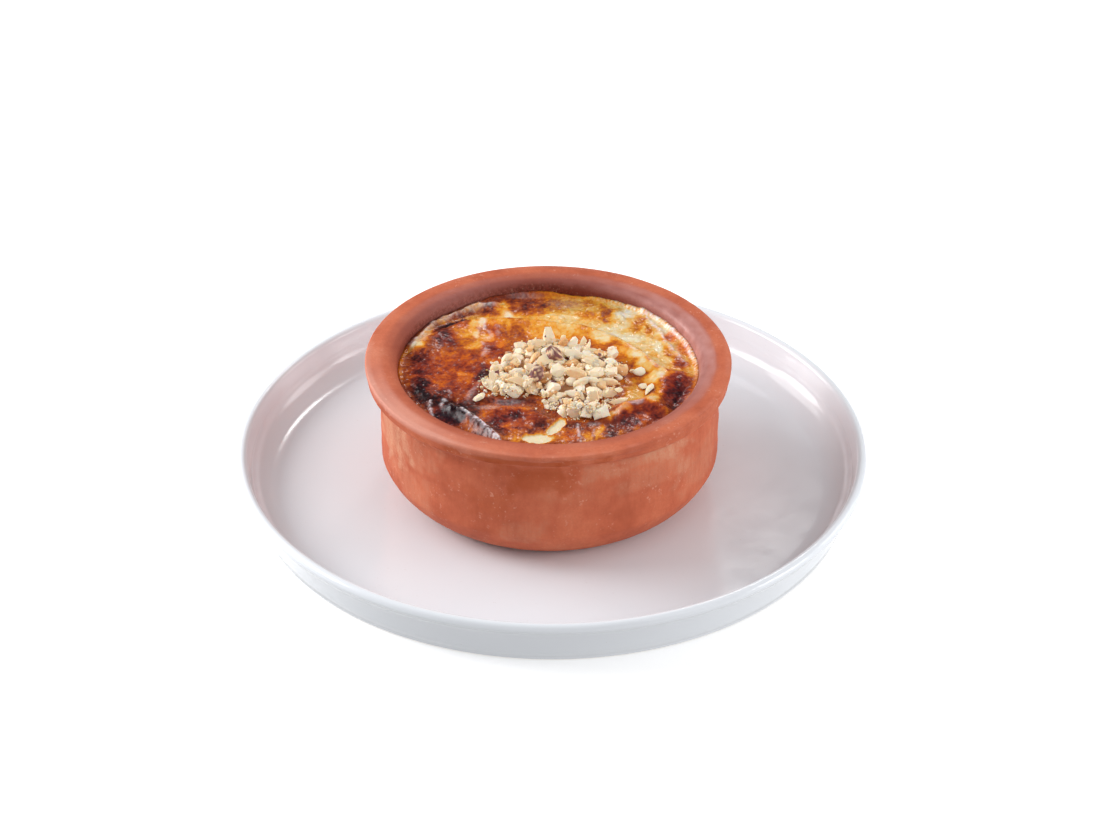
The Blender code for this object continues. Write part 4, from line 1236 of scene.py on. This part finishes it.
# The pieces that stand out: x, y, length, width, thickness, turn, lean towards the front, tone,
# and how much of its unbroken side is brown skin, if any.
NUT_PIECES = (
    (-17.5, -6, 2.8, 1.6, 1, 20, 40, 0.3), (-14.2, 1.5, 3.4, 1.8, 1.1, 40, 40, 0.25),
    (-17.9, -2.5, 3.6, 2.2, 1.2, 70, 50, 0.2), (-13.5, 5, 1.8, 1.4, 1.1, 0, 40, 0.45, 0.6),
    (-9.5, 6.5, 3.2, 2.2, 1.5, 10, 40, 0.15), (-6.5, 3.5, 2.4, 1.6, 1.3, 70, 40, 0.55),
    (-4.5, 5, 4, 2.3, 1.8, 0, 40, 0.35), (-0.3, 9.5, 4.4, 3, 1.7, 90, 62, 0.12),
    (4, 9.5, 1.7, 1.2, 1, 60, 50, 0.3), (4.2, 6.5, 2.4, 2.2, 1.4, 0, 45, 0.85),
    (7.2, 6.5, 3.4, 2.3, 1, 80, 50, 0.05), (10.5, 8, 3.2, 1.3, 0.9, 60, 45, 0.25),
    (12, 5.5, 2.8, 1.2, 0.9, 75, 50, 0.3), (19.5, 4.5, 3.3, 2.8, 2, 20, 45, 0.05),
    (-11.6, -1.6, 2.3, 2.2, 1.8, 0, 30, 0.5), (-5.1, -0.6, 3.6, 1.9, 1.4, 60, 55, 0.65),
    (-1.6, -1.5, 4.2, 2.6, 1.8, 30, 45, 0.3), (1.3, -0.2, 3.8, 3, 1.6, 110, 50, 0.35, 1),
    (7.5, 0.8, 4.2, 2.3, 1.2, -12, 45, 0.08), (13.9, -3, 5.4, 3, 2, 0, 40, 0.4),
    (22.6, -3.4, 3.9, 2.9, 1.7, -30, 45, 0.6), (-19.8, -12.5, 3.6, 2.2, 1.3, -40, 40, 0.2),
    (-18.5, -10.5, 3, 1.8, 1.1, -60, 45, 0.25), (-9.9, -7, 5, 2.3, 1.3, -5, 42, 0.08),
    (-4.3, -9.8, 3.7, 3.6, 1.8, 60, 45, 0.35, 0.9), (2.3, -8.4, 3.4, 3.4, 1.6, 45, 50, 0.15),
    (8.5, -10.7, 4.8, 2.6, 1.8, -8, 42, 0.45), (14.5, -9.5, 3.4, 2.6, 1.6, 10, 40, 0.2),
    (19.3, -7.9, 3.8, 2.6, 1.8, 20, 42, 0.2), (19, -11.5, 3.8, 1.6, 1.2, 5, 40, 0.35),
    (13.5, -12.5, 3, 1.4, 1.1, -10, 45, 0.15), (-11, -12.5, 4.4, 2.4, 1.4, -25, 50, 0.4),
    (-7.3, -13.8, 2.8, 1.6, 1.1, 60, 50, 0.15), (-15, -15.5, 3, 1.8, 1.1, 70, 50, 0.15),
    (-12.1, -16.3, 4.6, 3, 1.2, -15, 45, 0.08), (-4.8, -15.9, 2, 1.6, 1.2, 30, 40, 0.1),
    (1, -15.8, 3.3, 2.6, 1.7, 10, 45, 0.1), (9.7, -13.7, 4, 1.8, 1, 25, 50, 0.2),
    (7.4, -18, 4.2, 2.3, 1.1, -5, 45, 0.05), (13.4, -19, 3.8, 3.2, 2.2, 80, 40, 0.25),
    (18.6, -16, 3.6, 2.6, 1.8, 0, 40, 0.25), (7.7, -22.5, 2.2, 1.2, 1, 0, 40, 0.5, 0.9),
    (6.1, -25, 3.4, 1.9, 1.2, -10, 45, 0.55), (4.3, -28.4, 3, 2.2, 1.8, 20, 40, 0.12),
    (9.2, -27.3, 3.2, 2.6, 1.9, 45, 40, 0.5), (7.6, -29.1, 3.4, 2.8, 2.2, 0, 40, 0.12),
    (11.4, -29.1, 3.6, 3, 2.2, 60, 40, 0.05), (15.9, -28.4, 3.9, 3.4, 2.6, 15, 35, 0.05),
    (13.2, -27.4, 3.4, 2.6, 2, 30, 40, 0.25), (1.2, -1.2, 4.4, 3.4, 1.6, 110, 50, 0.35, 1),
    (-4.4, -11, 4.2, 3.4, 1.6, 60, 45, 0.35, 1), (16.4, 1.2, 1.6, 1.2, 1, 0, 45, 0.35, 1),
    # loose on the pudding
    (28.5, -3, 3, 2.5, 1, 10, 12, 0.1), (26.3, -2, 1.3, 1, 0.7, 50, 5, 0.2),
    (29.7, -11, 2.2, 1.6, 1, 0, 15, 0.1), (31.6, -13.5, 4.2, 1.4, 1, 62, 10, 0.1),
    (22, -16, 1.8, 1.3, 0.8, 0, 10, 0.2), (21.6, -21.5, 4.3, 1.4, 0.9, 8, 10, 0.25),
    (-22.6, -18.6, 3.1, 1.8, 1, 35, 10, 0.15),
    # small ones where the heap thins out in front
    (3.4, -18.4, 2.2, 1.6, 1.1, 30, 35, 0.1), (1.4, -20.4, 1.7, 1.3, 0.9, 70, 30, 0.15),
    (5.4, -20.2, 1.8, 1.3, 1, 10, 30, 0.25), (9.9, -18.9, 2.2, 1.6, 1.1, -20, 35, 0.05),
    (8.2, -20.8, 1.5, 1.2, 0.9, 50, 30, 0.2), (11.6, -21, 1.6, 1.2, 0.9, 20, 30, 0.1),
    (-1.6, -18.2, 1.6, 1.2, 0.9, 0, 35, 0.15),
)


def grid_cells(points):
    """Indices of the height map's cells under these points."""
    i = np.floor((points[:, 0] - HEAP_X) / GRID_STEP).astype(int) + GRID_HALF
    j = np.floor((points[:, 1] - HEAP_Y) / GRID_STEP).astype(int) + GRID_HALF
    return i, j


class HeightMap:
    """Heights of what lies on the pudding so far, on a square grid over the heap."""

    def __init__(self):
        line = (np.arange(2 * GRID_HALF) - GRID_HALF + 0.5) * GRID_STEP
        self.x, self.y = np.meshgrid(line + HEAP_X, line + HEAP_Y, indexing="ij")
        self.z = pudding_surface(self.x.ravel(), self.y.ravel())[0].reshape(self.x.shape)

    def pick(self, rng, chance):
        """The middle of a cell, drawn with these chances, and its place in the list."""
        place = rng.choice(chance.size, p=(chance / chance.sum()).ravel())
        return self.x.ravel()[place], self.y.ravel()[place], place

    def rest_height(self, points, sink):
        """How far up the piece has to go to lie on what is there, sunk in a little."""
        low = np.full(self.z.shape, np.inf)
        np.minimum.at(low, grid_cells(points), points[:, 2])
        under = np.isfinite(low)
        return np.quantile((self.z - low)[under], 1 - sink)

    def raise_to(self, points):
        np.maximum.at(self.z, grid_cells(points), points[:, 2])


class Pieces:
    """Many small pieces gathered into one mesh, with a tone and a skin value on each point."""

    def __init__(self):
        self.points, self.faces, self.tone, self.skin, self.total = [], [], [], [], 0

    def add(self, points, faces, tone, skin):
        self.points.append(points)
        self.faces.append(faces + self.total)
        height = points[:, 2] - points[:, 2].min()
        self.tone.append(tone + 0.24 * (1 - height / height.max()))  # lower part of each piece painted tanner and darker, a painted shade
        self.skin.append(np.broadcast_to(skin, len(points)))
        self.total += len(points)

    def finish(self, name, material, sharp_deg):
        points = mouth_lean(np.concatenate(self.points))
        mesh = make_mesh(name, points, [np.concatenate(self.faces)], sharp_deg)
        set_values(mesh, "tone", np.concatenate(self.tone))
        set_values(mesh, "skin", np.concatenate(self.skin))
        add_piece(name, mesh, material, "hazelnut_heap")


# How many shapes of large and of small pieces are made, and how many pieces and crumbs lie there.
COUNTS = {"shapes": 64, "chips": 24, "pieces": 460, "crumbs": 660}
CHIP_SIZE = 1.3  # pieces below this half length are made from the plainer shapes
TRIES = 6
MOST_OVER = 1.7  # how far a piece may stand above the heap's form


def add_nuts():
    nut = nut_material()
    counts = COUNTS
    ground = HeightMap()
    bare = ground.z.copy()
    share = heap_share(ground.x, ground.y)
    depth = heap_depth(ground.x, ground.y)
    add_nut_core(nut)
    gap = cluster_gap(ground.x, ground.y)
    core = bare + depth * CORE_SHARE * smooth(share, 0.80, 0.58) * (1 - gap)
    ground.z = np.maximum(ground.z, core)
    back_right = 0.9 * np.exp(-(((ground.x - 9) / 6) ** 2) - ((ground.y - 5) / 5) ** 2)
    fill = np.where(share < HEAP_EDGE, 0.3 + depth * 0.56 + back_right, 0.0)
    target = bare + fill * (1 - gap)
    rng = np.random.default_rng(101)
    shapes = [broken_shape(rng, True) for _ in range(counts["shapes"])]
    shapes = sorted(shapes, key=fullness)[len(shapes) // 3 :]  # the spikiest are left out
    chips = [broken_shape(rng, False) for _ in range(counts["chips"])]
    large, small = Pieces(), Pieces()
    for _ in range(counts["pieces"]):
        lack = np.maximum(target - ground.z, 0.0) ** 1.5
        lack[(share > HEAP_EDGE) | (gap > 0.5)] = 0.0
        if lack.sum() < 1.0:
            break
        add_scattered_nut(rng, ground, lack, target, (large, shapes), (small, chips))
    add_listed_nuts(rng, ground, large, shapes)
    large.finish("hazelnut_pieces", nut, 32)
    small.finish("hazelnut_chips", nut, 30)
    add_crumbs(nut, ground, share, rng, chips, counts["crumbs"])


def add_scattered_nut(rng, ground, lack, target, large, small):
    """Lays one piece where the heap lacks most, in the flattest of a few ways."""
    spot_x, spot_y, _ = ground.pick(rng, lack)
    size = float(np.clip(rng.lognormal(math.log(2.05), 0.24), 1.0, 2.9))
    pieces, shapes = large if size > CHIP_SIZE else small
    shape, faces, whole = shapes[rng.integers(len(shapes))]
    shape = shape * size * np.array([1.0, rng.uniform(0.65, 0.98), rng.uniform(0.4, 0.7)])
    best = None
    for _ in range(TRIES):
        lean, roll = rng.normal(18, 24), rng.normal(0, 22)
        turned = shape @ turned_by(rng.uniform(0, 360), lean, roll).T
        shift = [spot_x + rng.normal(0, 0.5), spot_y + rng.normal(0, 0.5), 0]
        turned = turned + np.array(shift)
        lift = ground.rest_height(turned, 0.2)
        over = (turned[:, 2] + lift - target[grid_cells(turned)]).max()
        if best is None or over < best[0]:
            best = (over, lift, turned)
    over, lift, turned = best
    if over > MOST_OVER:
        return
    placed = turned + np.array([0, 0, lift])
    ground.raise_to(placed)
    tone = float(np.clip(rng.normal(0.18, 0.2), 0, 1))
    if rng.random() < 0.10:
        tone = rng.uniform(0.7, 0.95)
    skin = whole * (rng.random() < 0.05)
    pieces.add(placed, faces, tone, skin)


def add_listed_nuts(rng, ground, pieces, shapes):
    """Lays the pieces of NUT_PIECES on what is there."""
    for x, y, length, width, thickness, turn, lean, tone, *skin in NUT_PIECES:
        shape, faces, _ = shapes[rng.integers(len(shapes))]
        shape = shape * np.array([length, width, thickness]) * LISTED_SCALE
        placed = shape @ turned_by(turn, lean, rng.normal(0, 10)).T
        placed = placed + np.array([x - BOWL_X, y - BOWL_Y, 0])
        lift = ground.rest_height(placed, 0.3 if lean > 20 else 0.1)
        placed = placed + np.array([0, 0, lift])
        placed[:, 2] -= max(placed[:, 2].max() - TOP_LIMIT, 0.0)
        ground.raise_to(placed)
        patch = smooth(noise(placed[:, 0], placed[:, 1] + placed[:, 2], 1.5, 121), -0.35, 0.0)
        pieces.add(placed, faces, tone, (skin[0] if skin else 0.0) * patch)


def add_nut_core(nut):
    """The inside of the heap, packed crumbs that show only between the pieces, coloured dark brown
    as painted shade in the gaps.
    """
    disc, quads, outline = disc_grid(90)
    angle = np.arctan2(disc[:, 1], disc[:, 0])
    share = np.hypot(*disc.T)
    reach = heap_reach(angle) * 0.80
    x, y = HEAP_X + disc[:, 0] * reach, HEAP_Y + disc[:, 1] * reach
    base = surface_form(x, y)[0]
    relief = 0.5 * fractal(x, y, 1.6, 111, 2) * smooth(share, 1.0, 0.9)
    bulk = (heap_depth(x, y) * CORE_SHARE + relief + 0.3) * smooth(share, 1.0, 0.72)
    top = base + 0.1 + (bulk + 0.6) * (1 - cluster_gap(x, y)) - 0.6
    upper = np.stack([x, y, top], -1)
    lower = np.stack([x, y, base - 1.2], -1)
    count = len(upper)
    onward = np.roll(outline, -1)
    side = np.stack([outline, outline + count, onward + count, onward], -1)
    points = mouth_lean(np.concatenate([upper, lower]))
    mesh = make_mesh("nut_heap_core", points, [quads, quads[:, ::-1] + count, side])
    # tone 1 and part husk: the dark brown is painted shade between the pieces
    set_values(mesh, "tone", np.full(2 * count, 1.0))
    set_values(mesh, "skin", np.full(2 * count, 0.35))
    add_piece("nut_heap_core", mesh, nut, "hazelnut_heap")


def add_crumbs(nut, ground, share, rng, chips, count):
    """Crumbs and flakes of brown skin among the pieces and on the pudding round the heap."""
    crumbs = Pieces()
    front = smooth(ground.y, -8, -20)
    outline = np.exp(-(((share - 0.98) / 0.06) ** 2)) * (0.3 + 2.0 * front)
    chance = np.where(share < 1.0, 0.25, 0.0) + outline
    spilt = np.exp(-(((ground.x - 1.2) / 3.2) ** 2) - ((ground.y + 22.0) / 2.8) ** 2)
    chance = chance * (share < 1.3) + 1.5 * spilt
    larger = (1 + 0.9 * np.maximum(spilt, 0.6 * front * (share < 0.95))).ravel()
    for _ in range(count):
        x, y, place = ground.pick(rng, chance)
        size = larger[place] * float(np.clip(rng.lognormal(math.log(0.26), 0.42), 0.11, 0.62))
        shape, faces, _ = chips[rng.integers(len(chips))]
        shape = shape * size @ turned_by(rng.uniform(0, 360), rng.normal(0, 50)).T
        shape = shape + np.array([x, y, 0])
        lift = ground.rest_height(shape, 0.3)
        if shape[:, 2].max() + lift > TOP_LIMIT:
            continue
        dark = rng.random() < 0.04
        crumbs.add(shape + np.array([0, 0, lift]), faces, rng.uniform(0.0, 0.6), float(dark))
    crumbs.finish("nut_crumbs", nut, 32)


NUT_TONES = (
    (0.0, (1.0, 0.88, 0.73)),
    (0.4, (0.99, 0.77, 0.52)),
    (0.7, (0.94, 0.57, 0.27)),
    (1.0, (0.66, 0.32, 0.11)),
)


def nut_material():
    finish = Finish("hazelnut")
    cloud, grain = finish.noise(1.6, 3, 0.6), finish.noise(0.35, 2, 0.6)
    tone = finish.value("tone").maths("ADD", (cloud - 0.5) * 0.5, clamp=True)
    specks = grain.ranged(0.60, 0.74, 0.0, 0.14)
    colour = specks.between(tone.ramp(NUT_TONES), (0.60, 0.40, 0.20))
    husk = cloud.between((0.13, 0.030, 0.035), (0.36, 0.15, 0.14))
    finish.set(
        {
            "Base Color": finish.value("skin").between(colour, husk),
            "Roughness": cloud.ranged(0.3, 0.7, 0.34, 0.55),
            "Subsurface Weight": 0.5,
            "Subsurface Radius": (1.0, 0.7, 0.4),
            "Subsurface Scale": 0.8 * MM,
        }
    )
    finish.bump(grain, 0.08, 0.6)
    return finish.material


# ---------------------------------------------------------------- floor, lights and camera

FLOOR_Z = -0.00005  # just under the plate's foot
FLOOR_REACH = 4.0


def add_floor():
    mesh = bpy.data.meshes.new("floor")
    far = FLOOR_REACH
    corners = [(-far, -far, 0), (far, -far, 0), (far, far, 0), (-far, far, 0)]
    mesh.from_pydata(corners, [], [(0, 1, 2, 3)])
    finish = Finish("floor_white")
    finish.set(
        {
            "Base Color": (0.97, 0.97, 0.97),
            "Roughness": 0.9,
            "Specular IOR Level": 0.1,
            "Emission Color": (1.0, 1.0, 1.0),
            "Emission Strength": 0.28,
        }
    )
    mesh.materials.append(finish.material)
    floor = bpy.data.objects.new("floor", mesh)
    floor.location.z = FLOOR_Z
    bpy.context.scene.collection.objects.link(floor)
    floor.visible_diffuse = False  # the light from below comes from the world instead


# Soft lamps: azimuth from the front (+ to the right), elevation, distance, width, watts.
LAMPS = {
    "left_low": (-110, 14, 1.0, 0.45, 4.4),
    "left_window": (-92, 33, 1.0, 0.45, 3.9),
    "left_back": (-122, 33, 1.0, 0.45, 1.7),
    "right_low": (80, 14, 1.0, 0.45, 3.1),
    "right_back_low": (110, 14, 1.0, 0.45, 1.7),
    "front_right": (45, 33, 1.0, 0.45, 0.8),
    "back_glint": (168, 40, 1.0, 0.14, 0.6),
    "front_low": (-5, 6, 1.2, 0.45, 0.5),
}
LAMP_AIM = (0, 0, 0.03)
SKY_STRENGTH = 0.53


def looking_from(azimuth, elevation, distance, aim):
    """Place and rotation, in metres, of a lamp or camera that looks at a point from there."""
    a, e = math.radians(azimuth), math.radians(elevation)
    way = np.array([math.sin(a) * math.cos(e), -math.cos(a) * math.cos(e), math.sin(e)])
    return way * distance + np.array(aim), (math.pi / 2 - e, 0, a)


def add_to_stage(name, data, place):
    made = bpy.data.objects.new(name, data)
    made.location, made.rotation_euler = place
    bpy.context.scene.collection.objects.link(made)
    return made


def add_lamps():
    for name, (azimuth, elevation, distance, width, watts) in LAMPS.items():
        lamp = bpy.data.lights.new(name, "AREA")
        lamp.shape = "DISK"
        lamp.size = width
        lamp.energy = watts
        add_to_stage(name, lamp, looking_from(azimuth, elevation, distance, LAMP_AIM))
    world = bpy.data.worlds.new("studio")
    bpy.context.scene.world = world
    world.cycles_visibility.glossy = False
    world.use_nodes = True
    sky = world.node_tree.nodes["Background"]
    sky.inputs["Color"].default_value = (1.0, 1.0, 1.0, 1)
    sky.inputs["Strength"].default_value = SKY_STRENGTH


CAMERA_ELEVATION = 32.479
CAMERA_DISTANCE = 1.3004
CAMERA_LENS = 130.63
CAMERA_SENSOR = 36
CAMERA_TARGET = (-0.000595, 0.0, 0.029393)


def add_camera():
    data = bpy.data.cameras.new("camera")
    data.sensor_width = CAMERA_SENSOR
    data.lens = CAMERA_LENS
    data.clip_start, data.clip_end = 0.05, 20
    place = looking_from(0, CAMERA_ELEVATION, CAMERA_DISTANCE, CAMERA_TARGET)
    bpy.context.scene.camera = add_to_stage("camera", data, place)
    bpy.context.scene.view_settings.view_transform = "Standard"


add_camera()
add_lamps()
add_floor()
add_plate()
add_bowl()
add_pudding()
add_nuts()
